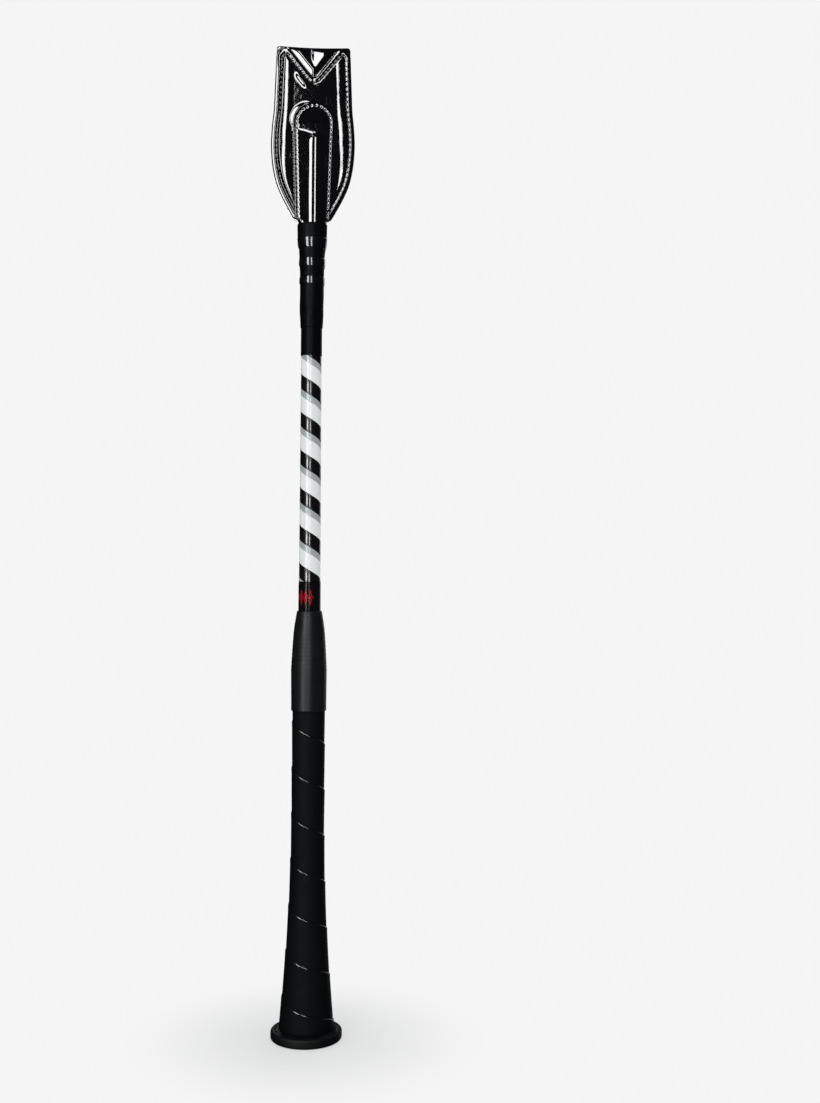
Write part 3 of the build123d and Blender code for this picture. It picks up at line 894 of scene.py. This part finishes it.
def tongue_grid():
    """Places of a tongue's mesh points: straight rows, which bend into the dome's arc."""
    across = edge_steps(52, RIM_STEPS, TONGUE_HALF)
    lower = np.arange(LEATHER_START, SPRING - 4, ROW_STEP)
    split = lower[-1]
    upper = rising_steps(34, 0.93, 15.0)[1:]
    turn = across * math.pi / 2
    dome_x, dome_z = TONGUE_HALF * np.sin(turn), SPRING + TONGUE_HALF * np.cos(turn)
    base_x = across * tongue_half(np.array([split]))
    z_low = np.repeat(lower[:, None], len(across), 1)
    x_low = across[None, :] * tongue_half(z_low)
    rise = upper[:, None]
    x_high = base_x[None, :] + rise * (dome_x - base_x)[None, :]
    z_high = split + rise * (dome_z - split)[None, :]
    return np.concatenate([x_low, x_high]), np.concatenate([z_low, z_high])


def on_face(x, height, z, facing):
    """Points at heights in front of the middle plane. facing 1 is the front, and -1 the back."""
    return np.stack([x * facing, -height * facing, z], -1)


def stitch(centre, along, out, length, thick):
    """A short rounded run of thread lying on a face."""
    along = np.array(along) / np.linalg.norm(along)
    side = np.cross(out, along)
    blunt, dip, flatness = 3.2, 0.22, 0.8         # of its ends, its ends' depth, its section
    turn = np.linspace(0, 2 * math.pi, 10, endpoint=False)[:, None]
    section = np.cos(turn) * side + flatness * np.sin(turn) * out
    rings = []
    for share in np.linspace(-1, 1, 9):
        size = thick / 2 * math.sqrt(max(1 - abs(share) ** blunt, 0.01))
        middle = centre + along * share * length / 2 - out * dip * share * share
        rings.append(middle + size * section)
    return lofted(rings)


def stitch_row(height_at, places, along, facing, length=2.6, thick=0.85, slant=0.55):
    """Stitches along a seam, on the surface that height_at gives."""
    step = 0.4

    def rise(step_x, step_z):
        ahead = height_at(places[:, 0] + step_x, places[:, 1] + step_z)
        behind = height_at(places[:, 0] - step_x, places[:, 1] - step_z)
        return (ahead - behind) / (2 * step)

    points, faces = [], []
    height = height_at(places[:, 0], places[:, 1])
    for (x, z), (ax, az), h, hx, hz in zip(places, along, height, rise(step, 0), rise(0, step)):
        tx, tz = ax - slant * az, az + slant * ax
        out = np.array([-hx, -1.0, -hz]) / math.sqrt(1 + hx * hx + hz * hz)
        run = np.array([tx, -(hx * tx + hz * tz), tz])
        made, made_faces = stitch(np.array([x, -h - GAP, z]), run, out, length, thick)
        made = made * (facing, facing, 1)
        faces += [tuple(i + len(points) * len(made) for i in face) for face in made_faces]
        points.append(made)
    return np.concatenate(points), faces


# ---- operators, one for each piece or group of like pieces

class CROP_OT_shaft_core(bpy.types.Operator):
    """Dress the rod and its padding"""
    bl_idname = "crop.shaft_core"
    bl_label = "Shaft core"

    def execute(self, context):
        dress("core_rod", rod_finish())
        dress("shaft_cover", cloth_finish("shaft_padding", (0.08, 0.08, 0.08), 5200.0))
        return {"FINISHED"}


class CROP_OT_tapes(bpy.types.Operator):
    """Wind the black, silver and white tapes round the shaft"""
    bl_idname = "crop.tapes"
    bl_label = "Spiral tapes"

    def execute(self, context):
        shaft = context.scene.crop_shaft
        pitch = shaft.tape_pitch / MM
        black, silver = shaft.black_width / MM, shaft.silver_width / MM
        white = pitch - black - silver
        bottom, top = low("black_tape").z, high("black_tape").z
        black_low = shaft.black_edge / MM - black
        silver_low = black_low - silver
        stripe = black_low * MM, black * MM, shaft.tape_pitch
        tapes = [
            ("black", "black_gloss_tape", black_low, black,
             tape_finish("black_gloss_tape", shaft.black, 0.95, stripe=stripe)),
            ("silver", "silver_tape", silver_low, silver, silver_finish(shaft.silver)),
            ("white", "white_gloss_tape", silver_low - white, white,
             tape_finish("white_gloss_tape", shaft.white, 0.06, 0.30)),
        ]
        full, edge, apart = TAPE_THICKNESS, 0.10, 0.04        # apart is left between two tapes
        for name, slot, front, width, finish in tapes:
            roll = edge / width
            section = [(0, GAP), (0, full * 0.55), (roll * 0.5, full * 0.88), (roll * 1.5, full)]
            section += [(share, full) for share in np.linspace(0.1, 0.9, 9)]
            section += [(1 - roll * 1.5, full), (1 - roll * 0.5, full * 0.88), (1, full * 0.55)]
            section += [(1, GAP), (0.75, GAP), (0.5, GAP), (0.25, GAP)]
            points, faces = spiral(front, width - apart, pitch, section, cover_radius, bottom, top, 84)
            piece(f"{name}_spiral_tape", points, faces, finish, [f"{name}_tape"])
        return {"FINISHED"}


class CROP_OT_accent_band(bpy.types.Operator):
    """Make the glossy band over the tapes' lower ends"""
    bl_idname = "crop.accent_band"
    bl_label = "Accent band"

    def execute(self, context):
        shaft = context.scene.crop_shaft
        inner = [(tape_radius(z) + GAP, z) for z in (BAND_TOP, BAND_BOTTOM)]
        outer = [(BAND_BOTTOM, 0.16), (BAND_BOTTOM + 0.1, 0.20), (BAND_TOP - 0.25, 0.20),
                 (BAND_TOP - 0.08, 0.17), (BAND_TOP, 0.09)]
        outline = inner + [(tape_radius(z) + GAP + lift, z) for z, lift in outer]
        points, faces = turned(outline, 128)
        finish = marked_finish(shaft.black, shaft.mark)
        piece("accent_band_gloss", points, faces, finish, ["accent_band"])
        return {"FINISHED"}


class CROP_OT_sleeves(bpy.types.Operator):
    """Make the thin sleeve over the tapes' upper ends and the neck sleeve above it"""
    bl_idname = "crop.sleeves"
    bl_label = "Sleeves"

    def execute(self, context):
        satin = rubber_finish("sleeve_black", (0.0016, 0.0023, 0.0030), 0.38, 3000.0, 0.00003, 0.035)
        bottom, top = low("tape_end_sleeve").z, high("tape_end_sleeve").z
        base = [(tape_radius(z) + GAP, z) for z in (top, bottom)]
        skin = [(bottom, 0.10), (bottom + 0.12, 0.22), (bottom + 0.4, 0.25), (top, 0.25)]
        outline = base + [(tape_radius(z) + GAP + lift, z) for z, lift in skin]

        points, faces = turned(outline, 96)
        piece("tape_end_cover", points, faces, satin, ["tape_end_sleeve"])

        first, last = NECK[0][0], NECK_TOP
        heights = np.concatenate([
            [first, first + 0.15, first + 0.5], np.arange(first + 1.5, last - 1.0, 1.25),
            [last - 0.6, last - 0.2, last]])
        outside = []
        for z in heights:
            wide, deep = neck_size(z)
            end = min(z - first, last - z)
            drop = 0.35 * (1 - step_up(0, 0.6, end))
            outside.append((wide - drop, deep - drop, z))
        least = tape_radius(top) + 0.33               # clears the thin sleeve inside it
        inside = []
        for z in np.linspace(last, first, 12):
            wide, deep = neck_size(z)
            inside.append((max(wide - NECK_WALL, least), max(deep - NECK_WALL, least), z))

        def squeezed(angle, height):
            end = step_up(first, first + 4, height) * step_up(0.0, 1.5, last - height)
            folds = 0.07 * np.sin(angle * 5 + height * 0.22) + 0.05 * np.sin(angle * 3 - height * 0.41)
            return end * folds

        points, faces = turned(outside + inside, 128, uneven=squeezed)
        piece("neck_cover", points, faces, satin, ["neck_sleeve"])
        return {"FINISHED"}


class CROP_OT_neck_rings(bpy.types.Operator):
    """Make the three glossy binding bands round the neck"""
    bl_idname = "crop.neck_rings"
    bl_label = "Neck rings"

    def execute(self, context):
        gloss = tape_finish("ring_gloss", (0.0025, 0.003, 0.004), 0.6, 0.16)
        around = 128
        angle = np.linspace(0, 2 * math.pi, around, endpoint=False)
        # share of a band's height, and height above the neck sleeve
        section = [(0.0, 0.05), (0.02, 0.26), (0.10, 0.40), (0.30, 0.46), (0.55, 0.46), (0.70, 0.40),
                   (0.78, 0.32), (0.86, 0.42), (0.95, 0.36), (1.0, 0.05), (0.5, -0.10)]
        slant = 0.9                   # how much lower a band's lower edge is on the right
        for place in ("lower", "middle", "upper"):
            node = f"neck_ring_{place}"
            bottom, top = low(node).z, high(node).z
            start = bottom + slant * (1 - np.cos(angle)) / 2
            rings = []
            for share, lift in section:
                z = start + share * (top - start)
                wide, deep = neck_size(z)
                rings.append(np.stack(
                    [(wide + lift) * np.cos(angle), (deep + lift) * np.sin(angle), z], 1))
            points, faces = lofted(rings, joined=True)
            piece(f"{node}_gloss", points, faces, gloss, [node])
        return {"FINISHED"}


class CROP_OT_butt_cap(bpy.types.Operator):
    """Turn the mushroom butt"""
    bl_idname = "crop.butt_cap"
    bl_label = "Butt cap"

    def execute(self, context):
        butt = context.scene.crop_grip.butt
        thick, collar_top = CAP_TOP - GAP, high("butt_cap").z
        centre, socket, socket_foot, collar = 0.5, 5.1, 4.0, 9.4
        round_, bevel = 1.8, 0.6
        turn = np.linspace(0, math.pi / 2, 9)
        edge = CAP_RADIUS - round_

        # the underside, with a shallow dish and three anti-slip grooves
        outline = [(centre, 0.35), (6.0, 0.35), (6.5, 0.0)]
        for ring in (11.0, 15.0, 19.0):
            outline += [(ring - 0.5, 0.0), (ring - 0.3, 0.3), (ring + 0.3, 0.3), (ring + 0.5, 0.0)]

        # the rounded rim, with the mould's parting line round its middle
        outline += [(edge + round_ * math.sin(t), round_ - round_ * math.cos(t)) for t in turn]
        mould, groove = thick * 0.52, CAP_RADIUS - 0.12
        outline += [(CAP_RADIUS, mould - 0.22), (groove, mould - 0.08), (groove, mould + 0.08),
                    (CAP_RADIUS, mould + 0.22)]
        outline += [(edge + round_ * math.cos(t), thick - round_ + round_ * math.sin(t)) for t in turn]

        # the top, with a groove round the wrap, and the collar that holds the rod
        outline += [(20.3, thick), (19.9, thick - 0.18), (19.5, thick), (collar, thick),
                    (collar, collar_top - bevel), (collar - bevel, collar_top), (socket, collar_top),
                    (socket, socket_foot), (centre, socket_foot)]
        points, faces = turned(outline, 160, joined=False)
        finish = rubber_finish("butt_rubber", butt, 0.60, 1500.0, 0.00006)
        piece("butt_mushroom", points, faces, finish, ["butt_cap"], sharp=38.0)
        return {"FINISHED"}


class CROP_OT_grip(bpy.types.Operator):
    """Wind the grip wrap with its overlapping edges, and dress the layers under it"""
    bl_idname = "crop.grip"
    bl_label = "Grip wrap"

    def execute(self, context):
        grip = context.scene.crop_grip
        pitch, seam = grip.wrap_pitch / MM, grip.wrap_seam / MM
        bottom, top, around = CAP_TOP, GRIP_TOP[0], 110
        tuck = 1.9                    # how far each turn runs under the one above
        width = pitch + tuck
        share_tuck, lip = tuck / width, 1.7 / width
        outer = [(0.0, -0.95), (share_tuck * 0.5, -0.62), (share_tuck, -0.50)]
        outer += [(share_tuck + 0.02, -0.42)]
        outer += [(u, -0.40 + 0.42 * u ** 0.8) for u in np.linspace(0.12, 0.90, 20)]
        outer += [(0.94, 0.04), (0.965, 0.10), (0.982, 0.13), (0.992, 0.08), (1.0, -0.10)]
        inner = [(1.0, -0.38), (1 - lip * 0.6, -0.44), (1 - lip, -0.60), (1 - 2 * lip, -1.40),
                 (0.7, -1.44), (0.4, -1.44), (0.15, -1.44), (0.0, -1.42)]
        start, section = seam - pitch - tuck, outer + inner
        points, faces = spiral(start, width, pitch, section, grip_radius, bottom, top, around)
        wrap = wrap_finish(grip.wrap)
        piece("grip_spiral_wrap", points, faces, wrap, ["grip_wrap"])

        edge = tape_finish("wrap_edge", (0.004, 0.004, 0.005), 0.6)
        section = [(0.0, -0.60), (0.0, 0.02), (0.10, 0.10), (0.30, 0.13), (0.62, 0.08), (0.82, -0.04),
                   (0.94, -0.20), (1.0, -0.60)]
        start, width = seam - 0.55, 1.0
        points, faces = spiral(start, width, pitch, section, grip_radius, bottom, top, around)
        piece("grip_seam_bead", points, faces, edge, ["grip_seam_strip"])

        dress("grip_underlay", rubber_finish("underlay_foam", (0.05, 0.05, 0.05), 0.8, 1200.0, 0.0001))
        dress("grip_adhesive_tape", cloth_finish("cloth_tape", (0.35, 0.33, 0.28), 6400.0))
        dress("finishing_tape", cloth_finish("finishing_cloth", (0.35, 0.33, 0.28), 6400.0))
        return {"FINISHED"}


class CROP_OT_boot(bpy.types.Operator):
    """Turn the rubber boot over the grip's top end"""
    bl_idname = "crop.boot"
    bl_label = "Rubber boot"

    def execute(self, context):
        bottom, top = low("rubber_boot").z, high("rubber_boot").z
        foot, lip = 11.45, 8.1        # radius at the bottom and at the top
        crown, shoulder = (11.65, 242.0), (10.35, 264.5)
        upper = smooth_line([crown, shoulder, (lip + 0.9, top - 5.0), (lip, top)])
        heights = np.arange(bottom + 0.5, top - 0.5, 0.42)
        profile_z = np.concatenate([[bottom], upper[:, 1]])
        profile_r = np.concatenate([[foot], upper[:, 0]])
        outside = [(foot - 0.45, bottom), (foot - 0.10, bottom + 0.12)]
        for z in heights:
            radius = np.interp(z, profile_z, profile_r)
            ribbed = step_up(238.5, 243.0, z) * (1 - step_up(265.0, 270.0, z))
            rib_pitch, rib_height = 2.7, 0.055
            radius += rib_height * ribbed * math.sin(2 * math.pi * z / rib_pitch)
            radius += crease(z - bottom - 1.2, 0.10, 0.9)         # a bead round the foot
            outside.append((radius, z))
        outside += [(lip - 0.05, top - 0.28), (lip - 0.22, top - 0.06), (lip - 0.42, top)]
        band = tape_radius(top) + 0.26
        inside = [(band, top - 0.02), (band, 264.0), (10.1, 252.0), (GRIP_TOP[1] + 0.3, 240.0),
                  (float(grip_radius(bottom)) + 0.20, bottom + 0.02)]

        def stretched_over(angle, height):
            return 0.05 * np.sin(angle * 2 + height * 0.06) + 0.03 * np.sin(angle * 3 - height * 0.11)

        points, faces = turned(outside + inside, 128, uneven=stretched_over)
        finish = rubber_finish("boot_rubber", context.scene.crop_grip.boot, 0.38, 2100.0, 0.00003, 0.20)
        piece("boot_moulding", points, faces, finish, ["rubber_boot"])
        return {"FINISHED"}


class CROP_OT_flap_panels(bpy.types.Operator):
    """Sew the two padded patent leather panels"""
    bl_idname = "crop.flap_panels"
    bl_label = "Flap panels"

    def execute(self, context):
        flap = context.scene.crop_flap
        finish = patent_finish("patent_leather", flap.patent)
        x, z = panel_grid(flap.columns)
        for name, facing, seed in SIDES:
            outside, inside = Leather(flap, seed).panel(x, z)
            points, faces = shell(on_face(x, outside, z, facing), on_face(x, inside, z, facing))
            piece(f"flap_panel_{name}", points, faces, finish,
                  [f"flap_{name}_panel", f"flap_{name}_end"], bends=True)
        return {"FINISHED"}


class CROP_OT_tongues(bpy.types.Operator):
    """Sew the domed tongues over the rod's pocket"""
    bl_idname = "crop.tongues"
    bl_label = "Tongues"

    def execute(self, context):
        flap = context.scene.crop_flap
        finish = patent_finish("patent_tongue", flap.patent)
        x, z = tongue_grid()
        for name, facing, seed in SIDES:
            outside, inside = Leather(flap, seed).tongue(x, z)
            points, faces = shell(on_face(x, outside, z, facing), on_face(x, inside, z, facing))
            piece(f"tongue_{name}", points, faces, finish, [f"{name}_tongue"])
        return {"FINISHED"}


class CROP_OT_tip_insert(bpy.types.Operator):
    """Make the folded leather piece that closes the notch"""
    bl_idname = "crop.tip_insert"
    bl_label = "Tip insert"

    def execute(self, context):
        flap = context.scene.crop_flap
        finish = patent_finish("patent_insert", flap.patent)
        across = edge_steps(64, RIM_STEPS, 24.2)
        x_top = across * FLAP_TOP_HALF
        corner, sag, inset = 2.2, 0.9, 0.12           # its corners' radius, its top edge, its sides
        past = np.maximum(np.abs(x_top) - (FLAP_TOP_HALF - corner), 0)
        top = TIP_TOP - sag * (1 - (x_top / FLAP_TOP_HALF) ** 2)
        top -= corner - np.sqrt(np.maximum(corner ** 2 - past ** 2, 0))
        start = HINGE + 1.0
        z = start + rising_steps(60, 0.95, 38.0)[:, None] * (top - start)[None, :]
        x = across[None, :] * (flap_half(z) - inset)
        down = top[None, :] - z
        rim = rounded_rim(np.minimum(FLAP_TOP_HALF - np.abs(x), down), 0.3)
        front, back = (self.height(x * facing, z, down) - rim for facing in (1, -1))
        least = 0.03
        points, faces = shell(np.stack([x, -np.maximum(front, least), z], -1),
                              np.stack([x, np.maximum(back, least), z], -1))
        piece("flap_insert", points, faces, finish, ["flap_tip_insert"], bends=True)
        return {"FINISHED"}

    def height(self, x, z, down):
        """Height above the middle plane. down is the distance below the insert's top edge."""
        across, upward = 0.77, 0.64                   # square to the notch's slanted sides
        foot, slope = 0.35, 0.42                      # where the insert comes out of the notch
        from_left = across * (x + NOTCH_HALF) + upward * (z - LOBE_TOP)
        from_right = across * (NOTCH_HALF - x) + upward * (z - LOBE_TOP)
        out_of_left = foot + slope * from_left
        ledge = np.minimum(out_of_left, 1.70 - 0.10 * (from_left - 3.2))
        patch = 1.50 + 0.044 * x + 0.6 * np.minimum(x + 0.3, 0) - 0.16 * np.maximum(x - 7.0, 0)
        patch = np.minimum(patch, out_of_left)
        height = soft_least(soft_most(ledge, patch, 0.04), foot + slope * from_right, 0.08)
        height = soft_least(height, 0.50 + 0.34 * down, 0.08)
        lip = np.minimum(0.20 + 0.35 * down, 0.55 - 0.025 * np.clip(x + 24, 0, 12))
        return soft_most(height, lip, 0.03)


class CROP_OT_threads(bpy.types.Operator):
    """Lay the stitches of the edge seam and of the tongues"""
    bl_idname = "crop.threads"
    bl_label = "Threads"

    def execute(self, context):
        flap = context.scene.crop_flap
        finish = thread_finish(flap.thread)
        for name, facing, seed in SIDES:
            leather = Leather(flap, seed)

            def on_panel(x, z):
                return leather.panel(x, z)[0]

            def on_tongue(x, z):
                return leather.tongue(x, z)[0]

            places, along = leather.edge_stitches, leather.edge_along
            clear = np.abs(places[:, 0]) > tongue_half(places[:, 1]) + 0.9        # of the tongue
            clear |= places[:, 1] > TONGUE_TOP
            points, faces = stitch_row(on_panel, places[clear], along[clear], facing)
            replaced = ["edge_stitching", "end_stitching"] if facing == 1 else []
            piece(f"edge_thread_{name}", points, faces, finish, replaced, bends=True)
            points, faces = stitch_row(
                on_tongue, leather.tongue_stitches, leather.tongue_along, facing, 2.2, 0.66)
            piece(f"tongue_thread_{name}", points, faces, finish,
                  [f"{name}_tongue_stitching"])
        return {"FINISHED"}


class CROP_OT_flap_pads(bpy.types.Operator):
    """Fill the flap's sides with felt"""
    bl_idname = "crop.flap_pads"
    bl_label = "Flap pads"

    def execute(self, context):
        flap = context.scene.crop_flap
        finish = cloth_finish("flap_foam", (0.25, 0.25, 0.25), 3800.0, 0.95)
        heights = np.linspace(low("flap_padding_right").z, high("flap_padding_right").z, 60)
        share = np.linspace(0, 1, 26)
        inner, outer = 4.3, flap_half(heights) - 5.0          # from the rod's pocket to the seam
        least, loose = 0.02, 0.12
        x = inner + share[None, :] * (outer - inner)[:, None]
        z = np.repeat(heights[:, None], len(share), 1)
        round_off = np.sqrt(np.clip(1 - np.abs(2 * share - 1) ** 5, least, 1))[None, :]
        front, back = (Leather(flap, seed) for _, _, seed in SIDES)
        for name, hand in (("right", 1), ("left", -1)):
            ahead = (front.body(x * hand, z)[0] - front.thickness - loose) * round_off
            behind = (back.body(-x * hand, z)[0] - back.thickness - loose) * round_off
            points, faces = shell(
                np.stack([x * hand, -ahead, z], -1), np.stack([x * hand, behind, z], -1))
            pad = piece(f"felt_pad_{name}", points, faces, finish,
                        [f"flap_padding_{name}"])
        return {"FINISHED"}


class CROP_OT_stage(bpy.types.Operator):
    """Set the floor, the lights, the world and the camera"""
    bl_idname = "crop.stage"
    bl_label = "Stage"

    def execute(self, context):
        settings = context.scene.crop_stage
        self.make_world(context.scene, settings)
        self.make_floor(context.scene, settings)
        self.make_lights(context.scene)
        self.make_camera(context.scene, settings)
        context.scene.view_settings.view_transform = "Standard"
        return {"FINISHED"}

    def make_world(self, scene, settings):
        """A pale backdrop for the camera, a dim room in reflections and soft fill elsewhere."""
        world = bpy.data.worlds.new("studio")
        scene.world = world
        world.use_nodes = True
        nodes, links = world.node_tree.nodes, world.node_tree.links
        nodes.clear()
        paths = nodes.new("ShaderNodeLightPath")
        output = nodes.new("ShaderNodeOutputWorld")

        def glow(colour, strength):
            made = nodes.new("ShaderNodeBackground")
            made.inputs["Color"].default_value = (*colour, 1)
            made.inputs["Strength"].default_value = strength
            return made

        def chosen(kind_of_ray, otherwise, then):
            made = nodes.new("ShaderNodeMixShader")
            links.new(paths.outputs[kind_of_ray], made.inputs[0])
            links.new(otherwise.outputs[0], made.inputs[1])
            links.new(then.outputs[0], made.inputs[2])
            return made

        fill, room = glow((0.93, 0.96, 1.0), 0.42), glow((0.80, 0.90, 1.0), 0.012)
        seen = chosen("Is Glossy Ray", fill, room)
        seen = chosen("Is Camera Ray", seen, glow(settings.backdrop, 1.0))
        links.new(seen.outputs[0], output.inputs[0])

    def make_floor(self, scene, settings):
        """A floor that takes the soft shadow and fades into the backdrop."""
        mesh = bpy.data.meshes.new("floor")
        work = bmesh.new()
        bmesh.ops.create_circle(work, cap_ends=True, segments=96, radius=6.0)
        work.to_mesh(mesh)
        work.free()
        floor = bpy.data.objects.new("floor", mesh)
        scene.collection.objects.link(floor)
        floor.visible_glossy = False
        matte = {"Base Color": (0.93, 0.93, 0.93), "Roughness": 0.9, "Specular IOR Level": 0.0}
        finish = Finish("floor", matte)
        near, far, least = 0.02, 0.13, 0.55           # where the fade starts and ends, and its start
        distance = finish.node("ShaderNodeVectorMath", {"operation": "LENGTH"},
                               {0: finish.place()}, "Value")
        share = finish.node("ShaderNodeMapRange", {"interpolation_type": "SMOOTHSTEP"},
                            {0: distance, 1: near, 2: far, 3: least, 4: 1.0})
        glow = finish.node("ShaderNodeEmission", {}, {0: settings.backdrop, 1: 1.0})
        output = next(n for n in finish.tree.nodes if n.type == "OUTPUT_MATERIAL")
        lit = Wire(finish, finish.shader.outputs[0])
        mixed = finish.node("ShaderNodeMixShader", {}, {0: share, 1: lit, 2: glow})
        finish.feed(output.inputs[0], mixed)
        mesh.materials.append(finish.material)

    def light(self, scene, name, angle, distance, height, size, glow, glossy, aim):
        """A soft box that aims at a height on the shaft. angle is in degrees, from the front to
        the left. A glossy one is only seen in reflections, and the others are never seen there."""
        data = bpy.data.lights.new(name, "AREA")
        data.shape = "RECTANGLE"
        data.size, data.size_y = size
        data.energy = glow * math.pi * size[0] * size[1]
        lamp = bpy.data.objects.new(name, data)
        turn = math.radians(angle)
        lamp.location = (-math.sin(turn) * distance, -math.cos(turn) * distance, height)
        towards = Vector((0, 0, aim)) - lamp.location
        lamp.rotation_mode = "QUATERNION"
        lamp.rotation_quaternion = towards.to_track_quat("-Z", "Y")
        lamp.visible_camera = False
        lamp.visible_glossy = glossy
        lamp.visible_diffuse = not glossy
        scene.collection.objects.link(lamp)

    def make_lights(self, scene):
        # Tall strips draw the lines of light on lacquer, tape and rubber.
        strip_height, strip_aim, tall = 0.60, 0.50, 2.3
        for name, angle, distance, width, glow in (
                ("strip_left", 36, 1.2, 0.30, 12.0), ("strip_front", 5, 1.2, 0.15, 12.0),
                ("strip_back", 172, 1.3, 0.15, 3.0), ("strip_back_right", 218, 1.3, 0.25, 1.6)):
            self.light(scene, name, angle, distance, strip_height, (width, tall), glow, True, strip_aim)
        # Soft boxes light the colours.
        soft_aim = 0.32
        for name, angle, distance, height, side, glow in (
                ("soft_front", 20, 1.6, 1.2, 1.2, 1.6), ("soft_back", 200, 1.6, 1.2, 1.2, 0.9),
                ("soft_top", 0, 0.3, 1.6, 0.9, 1.3)):
            self.light(scene, name, angle, distance, height, (side, side), glow, False, soft_aim)

    def make_camera(self, scene, settings):
        data = bpy.data.cameras.new("camera")
        data.lens = settings.lens / MM
        data.sensor_fit = "AUTO"
        data.sensor_width = 36.0
        data.clip_start, data.clip_end = 0.05, 20.0
        camera = bpy.data.objects.new("camera", data)
        height = 0.3195
        camera.location = (0.0, -settings.distance, height)
        yaw, roll = math.radians(-4.17), math.radians(0.44)
        level = Matrix.Rotation(yaw, 4, "Z") @ Matrix.Rotation(math.pi / 2, 4, "X")
        camera.rotation_mode = "QUATERNION"
        camera.rotation_quaternion = (level @ Matrix.Rotation(roll, 4, "Z")).to_quaternion()
        scene.collection.objects.link(camera)
        scene.camera = camera


class CROP_PT_panel(bpy.types.Panel):
    """Lists the crop's pieces"""
    bl_idname = "CROP_PT_panel"
    bl_label = "Riding crop"
    bl_space_type = "VIEW_3D"
    bl_region_type = "UI"
    bl_category = "Crop"

    def draw(self, context):
        for group in ("crop_shaft", "crop_grip", "crop_flap", "crop_stage"):
            box = self.layout.box()
            settings = getattr(context.scene, group)
            for name in settings.bl_rna.properties.keys():
                if name not in ("rna_type", "name"):
                    box.prop(settings, name)
        for operator in OPERATORS:
            self.layout.operator(operator.bl_idname)


GROUPS = {
    "crop_shaft": CROP_PG_shaft,
    "crop_grip": CROP_PG_grip,
    "crop_flap": CROP_PG_flap,
    "crop_stage": CROP_PG_stage,
}
OPERATORS = [
    CROP_OT_shaft_core, CROP_OT_tapes, CROP_OT_accent_band, CROP_OT_sleeves, CROP_OT_neck_rings,
    CROP_OT_butt_cap, CROP_OT_grip, CROP_OT_boot, CROP_OT_flap_panels, CROP_OT_tongues,
    CROP_OT_tip_insert, CROP_OT_threads, CROP_OT_flap_pads, CROP_OT_stage,
]


def register():
    for group in [*GROUPS.values(), *OPERATORS, CROP_PT_panel]:
        bpy.utils.register_class(group)
    for name, group in GROUPS.items():
        setattr(bpy.types.Scene, name, PointerProperty(type=group))


def unregister():
    for name in GROUPS:
        delattr(bpy.types.Scene, name)
    for group in [CROP_PT_panel, *reversed(OPERATORS), *GROUPS.values()]:
        bpy.utils.unregister_class(group)


def main():
    register()
    bpy.ops.crop.stage()
    bpy.ops.crop.shaft_core()
    bpy.ops.crop.tapes()
    bpy.ops.crop.accent_band()
    bpy.ops.crop.sleeves()
    bpy.ops.crop.neck_rings()
    bpy.ops.crop.butt_cap()
    bpy.ops.crop.grip()
    bpy.ops.crop.boot()
    bpy.ops.crop.flap_panels()
    bpy.ops.crop.tongues()
    bpy.ops.crop.tip_insert()
    bpy.ops.crop.threads()
    bpy.ops.crop.flap_pads()


if __name__ == "__main__":
    main()
